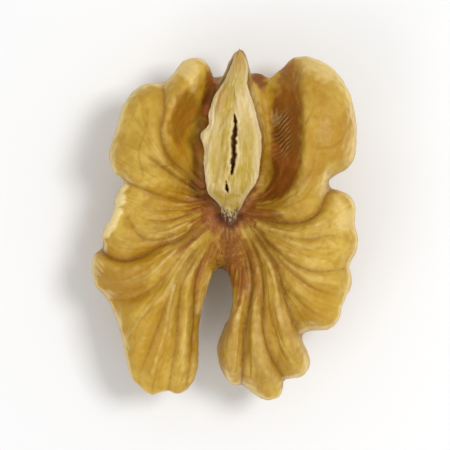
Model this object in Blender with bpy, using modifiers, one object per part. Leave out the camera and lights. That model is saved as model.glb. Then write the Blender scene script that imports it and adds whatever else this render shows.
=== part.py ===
"""Half of a walnut kernel, lying on its rounded back with the inner face up.

The inner face looks along +Z, the pointed tip along +Y, and the two long lobes
with the gap between them lie towards -Y. The origin is on the resting plane,
under the middle of the kernel. Shapes are drawn in millimetres.

Each lobe is a sphere drawn out to the lobe's own outline, between the rounded
back and the inner face. The lobes are fused into one skin, and then the folds of
the face and the winding grooves of the back are sunk into it.
"""

import math
from typing import NamedTuple

import bmesh
import bpy
import numpy as np

MM = 0.001

# Driving dimensions, in millimetres, to which the finished kernel is sized
KERNEL_LENGTH = 35.0
KERNEL_WIDTH = 26.5
KERNEL_HEIGHT = 13.0
FLAT_SPOT_DEPTH = 0.4


class Lobe(NamedTuple):
    """One rounded lobe, drawn as seen from above, in millimetres.

    The outline is a smooth closed loop that every ray from the centre meets once.
    The rim is the widest level of the lobe. Its top stands off the inner face by
    the lift, and by the crown more in the middle.
    """

    centre: tuple
    rim_height: float
    lift: float
    crown: float
    outline: list


class Crease(NamedTuple):
    """A groove between two folds: from the hub's side, round a bend, to the rim.

    The last value is the share of its depth that is left where it meets the rim.
    """

    start: tuple
    bend: tuple
    end: tuple
    depth: float
    at_rim: float


class Trough(NamedTuple):
    """A hollow beside the eye, which falls off from a lobe's edge to its floor.

    It deepens from the hub's end, at start_y, until it is full, at full_y.
    """

    depth: float
    edge_x: float
    floor_x: float
    start_y: float
    full_y: float


# The rounded back is one full bowl, which all the lobes share
BACK_HALF_WIDTH = 14.6
BACK_HALF_LENGTH = 19.4
BACK_SQUARENESS = 2.5
BACK_FULLNESS = 2.4
BACK_DEPTH = 9.0
BACK_STEEPEST_REACH = 0.985

# The inner face is a plateau that droops towards the ends of the long lobes
PLATEAU_HEIGHT = 10.8
DROOP = 1.2
DROOP_START_Y = -4.0
DROOP_END_Y = -18.0

# It is sunk at the hub and beside the eye
HUB = (0.3, -0.6)
HUB_DEPTH = 3.8
HUB_RADIUS = 4.2
RIGHT_TROUGH = Trough(depth=4.6, edge_x=7.6, floor_x=4.8, start_y=0.5, full_y=5.0)
LEFT_TROUGH = Trough(depth=3.8, edge_x=-6.6, floor_x=-3.6, start_y=1.5, full_y=9.0)
UNDER_EYE_HALF_WIDTH = 1.0

# The curled ridge that stands in the left trough
KNOB_RIDGE = ((-2.9, 15.2), (-5.9, 11.6))
KNOB_RIDGE_RADIUS = 1.5
KNOB_RIDGE_SHARE = 0.9

# How a lobe is rounded: least flesh above and below its rim, and the fullness there
LEAST_FLESH = 0.8
TOP_FULLNESS = 0.75
UNDERSIDE_FULLNESS = 0.8

LOBES = {
    "upper_right": Lobe(
        centre=(8.4, 8.2),
        rim_height=7.4,
        lift=0.7,
        crown=1.0,
        outline=[
            (4.3, 14.4), (4.9, 16.0), (6.6, 17.0), (8.5, 16.6), (10.3, 15.2),
            (11.8, 13.0), (12.7, 10.6), (13.1, 8.5), (12.8, 6.4), (11.9, 5.2),
            (10.4, 4.3), (9.3, 2.6), (7.2, 0.9), (5.2, 1.1), (4.3, 3.0),
            (4.5, 6.0), (4.8, 9.2), (4.5, 12.2),
        ],
    ),
    "upper_left": Lobe(
        centre=(-6.2, 8.6),
        rim_height=7.2,
        lift=0.3,
        crown=0.9,
        outline=[
            (-1.7, 13.2), (-1.75, 15.0), (-2.3, 16.1), (-3.5, 16.6), (-4.7, 16.0),
            (-5.5, 14.9), (-6.9, 14.5), (-8.3, 14.0), (-9.6, 12.9), (-10.5, 11.0),
            (-11.1, 9.4), (-11.7, 7.8), (-11.8, 6.4), (-11.3, 5.1), (-10.2, 3.9),
            (-8.0, 2.2), (-4.8, 2.6), (-3.4, 4.4), (-2.9, 6.8), (-2.8, 9.4),
            (-2.2, 11.6),
        ],
    ),
    "lower_right": Lobe(
        centre=(6.4, -3.6),
        rim_height=6.6,
        lift=0.1,
        crown=0.7,
        outline=[
            (10.4, 4.2), (11.1, 3.6), (12.1, 2.7), (12.7, 1.4), (12.6, 0.2),
            (13.0, -1.2), (13.1, -2.6), (12.6, -4.1), (12.6, -5.9), (12.0, -7.6),
            (11.5, -9.3), (10.6, -10.6), (9.3, -11.1), (8.0, -10.8), (6.4, -9.4),
            (4.6, -8.0), (2.4, -8.6), (0.5, -7.8), (-0.1, -5.8), (-0.3, -3.0), (-0.8, 0.2),
            (1.5, 2.2), (5.0, 3.2), (8.5, 4.2),
        ],
    ),
    "first_finger": Lobe(
        centre=(0.7, -11.8),
        rim_height=6.2,
        lift=-0.3,
        crown=0.4,
        outline=[
            (1.2, -3.6), (0.0, -5.2), (0.0, -7.0), (-0.3, -9.4), (-1.0, -11.8),
            (-1.0, -14.2), (-0.2, -16.1), (1.1, -16.9), (2.1, -16.0), (2.6, -12.6),
            (2.8, -8.0), (2.8, -4.0),
        ],
    ),
    "second_finger": Lobe(
        centre=(3.5, -12.0),
        rim_height=6.2,
        lift=0.1,
        crown=0.5,
        outline=[
            (2.2, -3.2), (1.8, -7.0), (1.6, -11.0), (1.4, -15.0), (2.0, -17.1),
            (3.7, -17.9), (5.2, -17.5), (5.9, -16.1), (5.5, -13.4), (4.8, -9.6),
            (4.2, -6.0), (3.4, -3.2),
        ],
    ),
    "third_finger": Lobe(
        centre=(5.9, -11.4),
        rim_height=6.4,
        lift=0.0,
        crown=0.5,
        outline=[
            (3.0, -2.8), (3.4, -6.2), (4.0, -9.4), (4.7, -12.6), (5.5, -15.0),
            (6.7, -15.7), (7.9, -15.0), (8.5, -13.4), (8.0, -11.2), (6.9, -8.2),
            (5.6, -5.2), (4.4, -2.8),
        ],
    ),
    "lower_left": Lobe(
        centre=(-6.6, -4.5),
        rim_height=6.5,
        lift=-0.4,
        crown=0.7,
        outline=[
            (-10.2, 3.9), (-10.7, 2.4), (-11.2, 0.6), (-12.3, -0.9), (-13.2, -2.4),
            (-13.4, -4.3), (-13.1, -6.3), (-12.5, -7.5), (-11.5, -8.3),
            (-10.8, -10.3), (-10.5, -12.4), (-10.1, -14.3), (-9.2, -16.1),
            (-7.6, -17.1), (-6.3, -16.8), (-4.8, -17.1), (-3.4, -16.1),
            (-2.8, -14.0), (-2.5, -11.9), (-2.1, -9.4), (-1.6, -7.2), (-1.3, -5.2),
            (-1.1, -3.0), (0.2, 0.2), (-1.6, 2.6), (-5.0, 3.4), (-8.0, 4.4),
        ],
    ),
}

# The flesh under the hub and the troughs, which ties the lobes together
CORE = Lobe(
    centre=(0.2, 4.2),
    rim_height=4.6,
    lift=0.0,
    crown=0.0,
    outline=[
        (0.6, 15.2), (3.2, 15.6), (5.2, 14.4), (6.6, 10.5), (7.5, 5.0), (6.0, -1.5),
        (3.0, -4.6), (-0.5, -4.9), (-3.6, -4.4), (-6.2, -1.0), (-7.2, 4.5),
        (-5.6, 10.0), (-3.2, 13.4), (-1.4, 14.6),
    ],
)

# The broken middle of the kernel, which ends in the pointed tip
EYE = Lobe(
    centre=(0.4, 7.0),
    rim_height=8.0,
    lift=0.0,
    crown=0.0,
    outline=[
        (1.2, 17.5), (1.9, 16.2), (2.3, 14.0), (2.9, 11.5), (3.3, 9.0),
        (3.35, 6.5), (2.8, 4.6), (1.7, 2.9), (0.5, 1.2), (-0.5, 1.5),
        (-1.3, 2.6), (-1.9, 4.1), (-2.3, 5.9), (-2.4, 7.8), (-2.3, 9.2),
        (-1.85, 10.6), (-1.3, 12.2), (-0.4, 14.0), (0.5, 16.0),
    ],
)
EYE_TOP = 10.9
EYE_DIP_AT_HUB = 3.0
EYE_HUB_SLOPE = (3.5, 0.0)
EYE_DIP_AT_TIP = 1.2
EYE_TIP_SLOPE = (12.0, 17.5)
EYE_REACH_CENTRE = (0.5, 8.0)
EYE_REACH = (3.2, 8.5)
EYE_REACH_SHARPNESS = 6

CREASES = [
    # between the upper and the lower right lobe
    Crease((2.4, 1.2), (7.6, -1.6), (10.6, 4.2), 1.1, 1.0),
    # the folds of the lower right lobe
    Crease((4.0, -0.6), (9.0, -1.4), (12.9, 0.3), 0.6, 0.5),
    Crease((2.0, -0.6), (7.6, -4.6), (12.9, -3.9), 1.0, 0.4),
    Crease((2.0, -1.2), (6.4, -6.2), (12.0, -8.6), 0.9, 0.4),
    # between its fingers
    Crease((1.6, -1.4), (5.6, -6.0), (8.1, -11.2), 1.1, 0.6),
    Crease((1.4, -2.0), (3.9, -9.5), (5.9, -15.8), 1.0, 0.6),
    Crease((0.9, -3.0), (2.7, -9.5), (1.6, -17.2), 0.8, 0.6),
    # the folds of the lower left lobe
    Crease((-2.0, -0.8), (-9.4, -4.5), (-13.5, -1.6), 1.3, 0.9),
    Crease((-1.8, -1.2), (-6.7, -7.8), (-13.3, -7.2), 1.1, 0.7),
    Crease((-3.6, -5.0), (-7.6, -9.0), (-8.4, -16.9), 0.9, 0.5),
    Crease((-1.6, -2.0), (-5.0, -8.4), (-6.0, -17.0), 1.1, 0.6),
    Crease((-1.6, -3.6), (-3.4, -7.0), (-3.6, -13.0), 0.7, 0.2),
    # between the upper and the lower left lobe
    Crease((-2.6, 2.0), (-7.4, 6.4), (-10.9, 4.3), 1.1, 1.0),
    Crease((-2.4, 1.2), (-6.0, 1.8), (-11.4, 0.6), 0.6, 0.4),
    # the curled inner edge of the upper left lobe
    Crease((-3.0, 3.8), (-7.4, 7.4), (-6.6, 14.9), 0.9, 0.7),
]
CREASE_STEPS = 40
CREASE_AT_HUB = 0.25
CREASE_FADES_IN = (0.0, 0.45)
CREASE_FADES_OUT = (0.7, 1.0)
CREASE_CUT_SHARE = 0.65
CREASE_CUT_WIDTH = 0.45
CREASE_SHOULDER_WIDTH = 1.25

# The brain-like grooves of the back, and the gentle unevenness of every surface
GROOVE_DEPTH = 2.2
GROOVE_SPACING = 6.6
GROOVE_SHARPNESS = 0.42
GROOVE_SEED = 11
MEDIAN_GROOVE_DEPTH = 2.0
MEDIAN_GROOVE_WIDTH = 0.8
MEDIAN_GROOVE_SWAY = 0.9
MEDIAN_GROOVE_TURN = 0.45
UNEVENNESS = 0.22
UNEVEN_SPACING = 9.0
UNEVEN_SEED = 4
WAVES = 28

# Where the back's grooves take over: by the way the skin faces, and by its height
BACK_FACING = (0.15, -0.35)
BACK_LEVEL = (7.0, 4.2)

# The plump nodules of the back that the kernel lies on, all drawn down to one level
FEET = [(-3.0, 4.4), (3.4, 4.4), (-4.6, -3.0), (5.2, -2.9)]
FOOT_RADIUS = 2.0
FOOT_LEVEL = -0.5

# Slits in the eye: middle, half-sizes, turn about the vertical in degrees
SLITS = [
    ((0.62, 7.8), (0.27, 3.4, 1.5), 3.5),
    ((0.0, 3.5), (0.2, 0.85, 0.9), -8.0),
]

# How finely the kernel is meshed
LOBE_SEGMENTS = 144
LOBE_RINGS = 72
OUTLINE_STEPS = 14
FUSING_GRID = 0.32
CARVING_GRID = 0.34
CARVING_ROUNDS = 2
NORMAL_ROUNDS = 10
MOST_TRIANGLES = 10800


def smooth_loop(points):
    """Points along a smooth closed loop through the given corners."""
    corners = np.array(points, float)
    before, after = np.roll(corners, 1, axis=0), np.roll(corners, -1, axis=0)
    beyond = np.roll(corners, -2, axis=0)
    t = np.linspace(0.0, 1.0, OUTLINE_STEPS, endpoint=False)[:, None, None]
    loop = 0.5 * (
        2.0 * corners
        + (after - before) * t
        + (2.0 * before - 5.0 * corners + 4.0 * after - beyond) * t**2
        + (3.0 * corners - before - 3.0 * after + beyond) * t**3
    )
    return loop.transpose(1, 0, 2).reshape(-1, 2)


def smooth_step(start, end, value):
    """0 before the start, 1 past the end, and a smooth climb between them."""
    t = np.clip((value - start) / (end - start), 0.0, 1.0)
    return t * t * (3.0 - 2.0 * t)


def hill(distance, radius):
    """1 at no distance, fading to 0 past the radius."""
    return np.exp(-((distance / radius) ** 2))


def away_from_line(x, y, line):
    """Distance from the straight line between two points."""
    (x0, y0), (x1, y1) = line
    along = (x - x0) * (x1 - x0) + (y - y0) * (y1 - y0)
    along = np.clip(along / ((x1 - x0) ** 2 + (y1 - y0) ** 2), 0.0, 1.0)
    return np.hypot(x - x0 - along * (x1 - x0), y - y0 - along * (y1 - y0))


def back_height(x, y):
    """Height of the rounded back, which rests near 0 in the middle."""
    across = np.abs(x / BACK_HALF_WIDTH) ** BACK_SQUARENESS
    along = np.abs(y / BACK_HALF_LENGTH) ** BACK_SQUARENESS
    reach = np.minimum((across + along) ** (1.0 / BACK_SQUARENESS), BACK_STEEPEST_REACH)
    return BACK_DEPTH * (1.0 - (1.0 - reach**BACK_FULLNESS) ** (1.0 / BACK_FULLNESS))


def trough_depth(x, y, trough):
    """How deep a trough is here. It ends under the middle of the eye."""
    middle = math.copysign(UNDER_EYE_HALF_WIDTH, trough.edge_x)
    across = smooth_step(trough.edge_x, trough.floor_x, x) * smooth_step(-middle, middle, x)
    return trough.depth * across * smooth_step(trough.start_y, trough.full_y, y)


def face_height(x, y):
    """Height of the inner face before its creases are cut."""
    height = PLATEAU_HEIGHT - DROOP * smooth_step(DROOP_START_Y, DROOP_END_Y, y) ** 2
    height = height - HUB_DEPTH * hill(np.hypot(x - HUB[0], y - HUB[1]), HUB_RADIUS)
    knob = KNOB_RIDGE_SHARE * hill(away_from_line(x, y, KNOB_RIDGE), KNOB_RIDGE_RADIUS)
    left = trough_depth(x, y, LEFT_TROUGH) * (1.0 - knob)
    return height - left - trough_depth(x, y, RIGHT_TROUGH)


def core_top(x, y):
    """The floor of the troughs and of the hub."""
    return np.minimum(face_height(x, y), PLATEAU_HEIGHT - HUB_DEPTH)


def eye_top(x, y):
    """The broken face, which is lower at the hub and at the tip."""
    at_hub = EYE_DIP_AT_HUB * smooth_step(*EYE_HUB_SLOPE, y)
    return EYE_TOP - at_hub - EYE_DIP_AT_TIP * smooth_step(*EYE_TIP_SLOPE, y)


def points_of(mesh):
    """The mesh's points, as rows of x, y and z."""
    points = np.empty(len(mesh.vertices) * 3)
    mesh.vertices.foreach_get("co", points)
    return points.reshape(-1, 3)


def move_points(mesh, points):
    """Puts the mesh's points where these rows say."""
    mesh.vertices.foreach_set("co", points.ravel())
    mesh.update()


def broad_normals(mesh):
    """Where the mesh's points face, averaged so that deep cuts don't cross."""
    normals = np.empty(len(mesh.vertices) * 3)
    mesh.vertex_normals.foreach_get("vector", normals)
    normals = normals.reshape(-1, 3)
    ends = np.empty(len(mesh.edges) * 2, int)
    mesh.edges.foreach_get("vertices", ends)
    one, other = ends.reshape(-1, 2).T
    for _ in range(NORMAL_ROUNDS):
        total = normals.copy()
        np.add.at(total, one, normals[other])
        np.add.at(total, other, normals[one])
        normals = total / np.linalg.norm(total, axis=1)[:, None]
    return normals


def polar_radius(lobe, angles):
    """How far the lobe's outline lies from its centre, at these angles."""
    loop = smooth_loop(lobe.outline) - np.array(lobe.centre)
    at = np.arctan2(loop[:, 1], loop[:, 0])
    order = np.argsort(at)
    return np.interp(angles, at[order], np.hypot(*loop[order].T), period=2 * math.pi)


def lobe_body(name, lobe, top):
    """A sphere drawn out to the lobe's outline, between the back and a top height."""
    bpy.ops.mesh.primitive_uv_sphere_add(
        segments=LOBE_SEGMENTS, ring_count=LOBE_RINGS, radius=1.0
    )
    body = bpy.context.object
    body.name = name
    unit = points_of(body.data)
    around = np.arctan2(unit[:, 1], unit[:, 0])
    out = np.hypot(unit[:, 0], unit[:, 1])
    reach = polar_radius(lobe, around) * out
    x = lobe.centre[0] + reach * np.cos(around)
    y = lobe.centre[1] + reach * np.sin(around)
    ceiling = top(x, y) + lobe.lift + lobe.crown * (1.0 - out**2)
    floor = back_height(x, y)
    rim = np.maximum(lobe.rim_height, floor + LEAST_FLESH)
    rim = np.minimum(rim, ceiling - LEAST_FLESH)
    up = np.clip(unit[:, 2], 0.0, 1.0) ** TOP_FULLNESS
    down = np.clip(-unit[:, 2], 0.0, 1.0) ** UNDERSIDE_FULLNESS
    z = rim + (ceiling - rim) * up - (rim - floor) * down
    move_points(body.data, np.column_stack([x, y, z]))
    return body


def fuse(bodies, grid):
    """Joins overlapping bodies into one skin, by a remesh on a fine grid."""
    bpy.ops.object.select_all(action="DESELECT")
    for body in bodies:
        body.select_set(True)
    bpy.context.view_layer.objects.active = bodies[0]
    if len(bodies) > 1:
        bpy.ops.object.join()
    fused = bpy.context.object
    remesh = fused.modifiers.new("Fuse", "REMESH")
    remesh.mode = "VOXEL"
    remesh.voxel_size = grid
    soften = fused.modifiers.new("Soften", "SMOOTH")
    soften.factor = 0.5
    soften.iterations = 3
    for modifier in (remesh.name, soften.name):
        bpy.ops.object.modifier_apply(modifier=modifier)
    return fused


def crease_points(crease):
    """Points along the crease, and its depth at each of them."""
    t = np.linspace(0.0, 1.0, CREASE_STEPS)[:, None]
    start, bend, end = (np.array(p, float) for p in crease[:3])
    line = start * (1 - t) ** 2 + 2 * bend * t * (1 - t) + end * t**2
    fade_in = CREASE_AT_HUB + (1.0 - CREASE_AT_HUB) * smooth_step(*CREASE_FADES_IN, t[:, 0])
    fade_out = 1.0 - (1.0 - crease.at_rim) * smooth_step(*CREASE_FADES_OUT, t[:, 0])
    return line, crease.depth * fade_in * fade_out


def crease_depth(x, y):
    """How deep the nearest crease cuts here: a sharp fold with round shoulders."""
    depth = np.zeros_like(x)
    for crease in CREASES:
        for (px, py), full in zip(*crease_points(crease)):
            away = np.hypot(x - px, y - py)
            cut = CREASE_CUT_SHARE * np.exp(-away / CREASE_CUT_WIDTH)
            shoulder = (1.0 - CREASE_CUT_SHARE) * hill(away, CREASE_SHOULDER_WIDTH)
            depth = np.maximum(depth, full * (cut + shoulder))
    return depth


def swell(points, spacing, seed):
    """Waves of one length from every side, summed: hills and dips about 1 high."""
    rng = np.random.default_rng(seed)
    directions = rng.normal(size=(WAVES, 3))
    directions /= np.linalg.norm(directions, axis=1)[:, None]
    phases = rng.uniform(0.0, 2.0 * math.pi, WAVES)
    waves = np.cos(points @ directions.T * (2.0 * math.pi / spacing) + phases)
    return waves.sum(axis=1) / math.sqrt(WAVES / 2)


def back_grooves(points):
    """Depth of the back's winding grooves: they lie where the swell is level."""
    level = np.abs(swell(points, GROOVE_SPACING, GROOVE_SEED))
    winding = GROOVE_DEPTH * np.exp(-level / GROOVE_SHARPNESS)
    sway = MEDIAN_GROOVE_SWAY * np.sin(points[:, 1] * MEDIAN_GROOVE_TURN)
    median = MEDIAN_GROOVE_DEPTH * np.exp(-np.abs(points[:, 0] - sway) / MEDIAN_GROOVE_WIDTH)
    return np.maximum(winding, median)


def feet(x, y):
    """1 at the middle of each nodule that the kernel lies on, fading round it."""
    return np.max([hill(np.hypot(x - fx, y - fy), FOOT_RADIUS) for fx, fy in FEET], axis=0)


def over_eye(x, y):
    """1 on the broken face of the eye, which has no creases, and 0 away from it."""
    across = (x - EYE_REACH_CENTRE[0]) / EYE_REACH[0]
    along = (y - EYE_REACH_CENTRE[1]) / EYE_REACH[1]
    return np.exp(-(np.hypot(across, along) ** EYE_REACH_SHARPNESS))


def carve(kernel, share):
    """Sinks the creases and grooves by a share of their depth, and fuses again."""
    points, normals = points_of(kernel.data), broad_normals(kernel.data)
    x, y, z = points.T
    on_back = smooth_step(*BACK_FACING, normals[:, 2]) * smooth_step(*BACK_LEVEL, z)
    depth = crease_depth(x, y) * (1.0 - over_eye(x, y)) * (1.0 - on_back)
    depth = depth + back_grooves(points) * on_back
    depth = depth + UNEVENNESS * swell(points, UNEVEN_SPACING, UNEVEN_SEED)
    depth = share * depth * (1.0 - feet(x, y) * on_back)
    move_points(kernel.data, points - normals * depth[:, None])
    fuse([kernel], CARVING_GRID)


def lower_feet(kernel):
    """Draws the nodules that the kernel lies on down to their level."""
    points = points_of(kernel.data)
    facing = broad_normals(kernel.data)[:, 2]
    foot = feet(points[:, 0], points[:, 1]) * smooth_step(*BACK_FACING, facing)
    points[:, 2] += (FOOT_LEVEL - points[:, 2]) * foot
    move_points(kernel.data, points)


def fit_and_rest(kernel):
    """Centres the kernel, sizes it to its dimensions and lowers it into the plane."""
    points = points_of(kernel.data)
    low, high = points.min(axis=0), points.max(axis=0)
    middle = (low + high) / 2
    size = np.array([KERNEL_WIDTH, KERNEL_LENGTH, KERNEL_HEIGHT + FLAT_SPOT_DEPTH])
    points = (points - middle) * size / (high - low)
    points[:, 2] += size[2] / 2 - FLAT_SPOT_DEPTH
    move_points(kernel.data, points)


def thin_out(kernel):
    """Merges the fine grid into fewer triangles where the skin is flattest."""
    thin = kernel.modifiers.new("Thin", "DECIMATE")
    thin.use_collapse_triangulate = True
    kernel.data.calc_loop_triangles()
    thin.ratio = MOST_TRIANGLES / len(kernel.data.loop_triangles)
    bpy.ops.object.modifier_apply(modifier=thin.name)


def flatten_feet(kernel):
    """Cuts the kernel off level with the plane, which leaves a flat spot on each foot."""
    shape = bmesh.new()
    shape.from_mesh(kernel.data)
    everything = shape.verts[:] + shape.edges[:] + shape.faces[:]
    cut = bmesh.ops.bisect_plane(
        shape, geom=everything, plane_co=(0, 0, 0), plane_no=(0, 0, 1), clear_inner=True
    )
    edges = [part for part in cut["geom_cut"] if isinstance(part, bmesh.types.BMEdge)]
    bmesh.ops.edgeloop_fill(shape, edges=edges)
    bmesh.ops.triangulate(shape, faces=shape.faces[:])
    bmesh.ops.recalc_face_normals(shape, faces=shape.faces[:])
    shape.to_mesh(kernel.data)
    shape.free()


def top_at(kernel, middle):
    """Height of the kernel's upper skin over a point, in metres."""
    above = (middle[0] * MM, middle[1] * MM, 1.0)
    return kernel.ray_cast(above, (0, 0, -1))[1].z


def cut_slit(kernel, number, middle, half_sizes, turn, cutters):
    """Cuts one narrow slit into the broken face of the eye."""
    bpy.ops.mesh.primitive_uv_sphere_add(segments=12, ring_count=10, radius=1.0)
    cutter = bpy.context.object
    cutter.name = f"slit_cutter_{number}"
    cutter.scale = [half * MM for half in half_sizes]
    cutter.rotation_euler.z = math.radians(turn)
    cutter.location = (middle[0] * MM, middle[1] * MM, top_at(kernel, middle))
    cutter.display_type = "WIRE"
    cutter.hide_render = True
    move_to_collection(cutter, cutters)
    slit = kernel.modifiers.new(f"Slit {number}", "BOOLEAN")
    slit.operation = "DIFFERENCE"
    slit.object = cutter


def skin_material():
    """The tan skin."""
    material = bpy.data.materials.new("kernel_skin")
    material.use_nodes = True
    shader = material.node_tree.nodes["Principled BSDF"]
    shader.inputs["Base Color"].default_value = (0.52, 0.31, 0.085, 1.0)
    shader.inputs["Roughness"].default_value = 0.5
    shader.inputs["Metallic"].default_value = 0.0
    return material


def new_collection(name):
    """A collection linked to the scene."""
    collection = bpy.data.collections.new(name)
    bpy.context.scene.collection.children.link(collection)
    return collection


def move_to_collection(obj, collection):
    """Takes the object out of its collections and puts it in this one."""
    for other in list(obj.users_collection):
        other.objects.unlink(obj)
    collection.objects.link(obj)


def main():
    """Builds the kernel."""
    for obj in list(bpy.data.objects):
        bpy.data.objects.remove(obj)
    bodies = [lobe_body(name, lobe, face_height) for name, lobe in LOBES.items()]
    bodies.append(lobe_body("core", CORE, core_top))
    bodies.append(lobe_body("eye", EYE, eye_top))
    kernel = fuse(bodies, FUSING_GRID)
    for _ in range(CARVING_ROUNDS):
        carve(kernel, 1.0 / CARVING_ROUNDS)
    lower_feet(kernel)
    thin_out(kernel)
    fit_and_rest(kernel)
    flatten_feet(kernel)
    move_points(kernel.data, points_of(kernel.data) * MM)

    kernel.name = kernel.data.name = "kernel"
    kernel.data.materials.clear()
    kernel.data.materials.append(skin_material())
    kernel.data.shade_smooth()
    move_to_collection(kernel, new_collection("Walnut kernel"))
    cutters = new_collection("Cutters")
    bpy.context.view_layer.update()
    for number, (middle, half_sizes, turn) in enumerate(SLITS, 1):
        cut_slit(kernel, number, middle, half_sizes, turn, cutters)


main()
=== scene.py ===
"""Dresses half of a walnut kernel: its folded skin, its torn middle and their finishes.

Shapes are drawn in millimetres, as seen from above the inner face, with x to the
right and y towards the pointed tip. The Drawing takes them to the frame's metres.
"""

import itertools
import logging
import math
from dataclasses import dataclass
from enum import Enum

import bpy
import numpy as np
from mathutils import Euler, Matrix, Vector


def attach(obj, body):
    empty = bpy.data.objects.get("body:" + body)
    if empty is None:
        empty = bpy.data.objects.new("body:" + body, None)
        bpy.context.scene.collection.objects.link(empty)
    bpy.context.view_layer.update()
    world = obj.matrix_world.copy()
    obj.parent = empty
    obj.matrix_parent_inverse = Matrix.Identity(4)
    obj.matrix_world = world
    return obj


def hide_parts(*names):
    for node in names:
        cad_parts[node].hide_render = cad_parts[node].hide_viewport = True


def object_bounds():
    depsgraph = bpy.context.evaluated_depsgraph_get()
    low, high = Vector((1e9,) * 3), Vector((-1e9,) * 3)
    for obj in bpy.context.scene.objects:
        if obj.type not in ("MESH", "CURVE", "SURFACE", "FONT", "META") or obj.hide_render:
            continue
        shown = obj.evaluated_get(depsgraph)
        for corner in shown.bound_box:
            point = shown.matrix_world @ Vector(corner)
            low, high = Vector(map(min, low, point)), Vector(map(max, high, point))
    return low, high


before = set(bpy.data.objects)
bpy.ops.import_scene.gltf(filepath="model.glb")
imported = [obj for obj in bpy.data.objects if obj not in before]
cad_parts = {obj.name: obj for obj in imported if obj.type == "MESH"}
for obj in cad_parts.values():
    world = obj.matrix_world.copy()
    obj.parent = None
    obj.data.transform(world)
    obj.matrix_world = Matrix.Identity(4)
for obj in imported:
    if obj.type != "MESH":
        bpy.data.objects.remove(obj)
CAD_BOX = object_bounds()

NODE = "kernel"
BODY = "root"
FAN = "fan"
MM = 0.001

Point = tuple[float, float]
Colour = tuple[int, int, int]

log = logging.getLogger("walnut")


class Tone(Enum):
    """The skin's stains and its painted shade and highlights, each kept in a mesh attribute of this name.
    """

    BROWN = "brown"
    GOLD = "gold"
    PALE = "pale"
    DARK = "dark"
    VEIN_AND_FURROW_SHADE = "vein"
    DEEP = "deep"


def smooth_step(start: float, end: float, value: np.ndarray) -> np.ndarray:
    """Climbs smoothly from 0 to 1.

    Args:
        start: The value up to which the result is 0.
        end: The value from which the result is 1.
        value: Where to read the climb.

    Returns:
        The climb at each value.
    """
    share = np.clip((value - start) / (end - start), 0.0, 1.0)
    return share * share * (3.0 - 2.0 * share)


def hill(distance: np.ndarray, radius: float) -> np.ndarray:
    """1 at no distance, fading to 0 past the radius."""
    return np.exp(-((distance / radius) ** 2))


@dataclass(frozen=True)
class Drawing:
    """The drawn kernel's box, in millimetres, which fills the frame's box."""

    low: tuple[float, float, float] = (-13.413, -17.581, -0.114)
    high: tuple[float, float, float] = (12.927, 17.423, 12.503)

    def metres_each(self) -> np.ndarray:
        """The metres of a drawn millimetre along each axis."""
        box = np.array(CAD_BOX[1]) - np.array(CAD_BOX[0])
        return box / (np.array(self.high) - np.array(self.low))

    def from_frame(self, points: np.ndarray) -> np.ndarray:
        """Takes points from the frame to the drawing.

        Args:
            points: Rows of x, y and z in metres.

        Returns:
            The same points in drawn millimetres.
        """
        return (points - np.array(CAD_BOX[0])) / self.metres_each() + np.array(self.low)

    def to_frame(self, points: np.ndarray) -> np.ndarray:
        """Takes points from the drawing to the frame, and keeps them in its box.

        Args:
            points: Rows of x, y and z in drawn millimetres.

        Returns:
            The same points in metres.
        """
        placed = (points - np.array(self.low)) * self.metres_each() + np.array(CAD_BOX[0])
        return np.clip(placed, np.array(CAD_BOX[0]), np.array(CAD_BOX[1]))


DRAWING = Drawing()


@dataclass(frozen=True)
class Noise:
    """Smooth bumps up to about 1 high and deep, from random slopes on a turned lattice.

    Attributes:
        spacing: The distance between the lattice's points.
        seed: The seed of the slopes.
        slopes: How many different slopes there are.
        primes: What a lattice point's numbers are multiplied by to pick its slope.
        turns: How far the lattice is turned about each axis, in radians.
        steepness: How steep each slope is.
    """

    spacing: float
    seed: int
    slopes: int = 4096
    primes: tuple[int, int, int] = (7919, 104729, 1299709)
    turns: tuple[float, float, float] = (0.61, 1.13, 0.35)
    steepness: float = 1.7

    def at(self, points: np.ndarray) -> np.ndarray:
        """Reads the noise.

        Args:
            points: Rows of x, y and z.

        Returns:
            The height at each point, about 0.
        """
        slopes = np.random.default_rng(self.seed).normal(size=(self.slopes, 3))
        slopes *= self.steepness / np.linalg.norm(slopes, axis=1)[:, None]
        turned = points @ np.array(Euler(self.turns).to_matrix()) / self.spacing
        cell = np.floor(turned).astype(np.int64)
        share = turned - cell
        smooth = share**3 * (share * (share * 6.0 - 15.0) + 10.0)
        total = np.zeros(len(points))
        for corner in itertools.product((0, 1), repeat=3):
            index = (cell + np.array(corner)) @ np.array(self.primes) % self.slopes
            weight = np.where(np.array(corner) == 1, smooth, 1.0 - smooth).prod(axis=1)
            total += weight * ((share - np.array(corner)) * slopes[index]).sum(axis=1)
        return total

    def pleats(self, points: np.ndarray, softness: float = 0.05) -> np.ndarray:
        """Rounded ridges with narrow creases between them, at 0 in the creases."""
        return np.sqrt(self.at(points) ** 2 + softness**2) - softness


@dataclass(frozen=True)
class Rough:
    """Noises laid over each other, each with its height, its spacing and its seed."""

    layers: tuple[tuple[float, float, int], ...]

    def at(self, points: np.ndarray) -> np.ndarray:
        """The height of them all together at each row of x, y and z."""
        return sum(height * Noise(spacing, seed).at(points) for height, spacing, seed in self.layers)


@dataclass(frozen=True)
class Patch:
    """An oval patch, strongest in its middle."""

    centre: Point
    radii: Point
    strength: float

    def at(self, x: np.ndarray, y: np.ndarray) -> np.ndarray:
        """The patch's strength at each point."""
        across = (x - self.centre[0]) / self.radii[0]
        along = (y - self.centre[1]) / self.radii[1]
        return self.strength * hill(np.hypot(across, along), 1.0)


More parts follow.
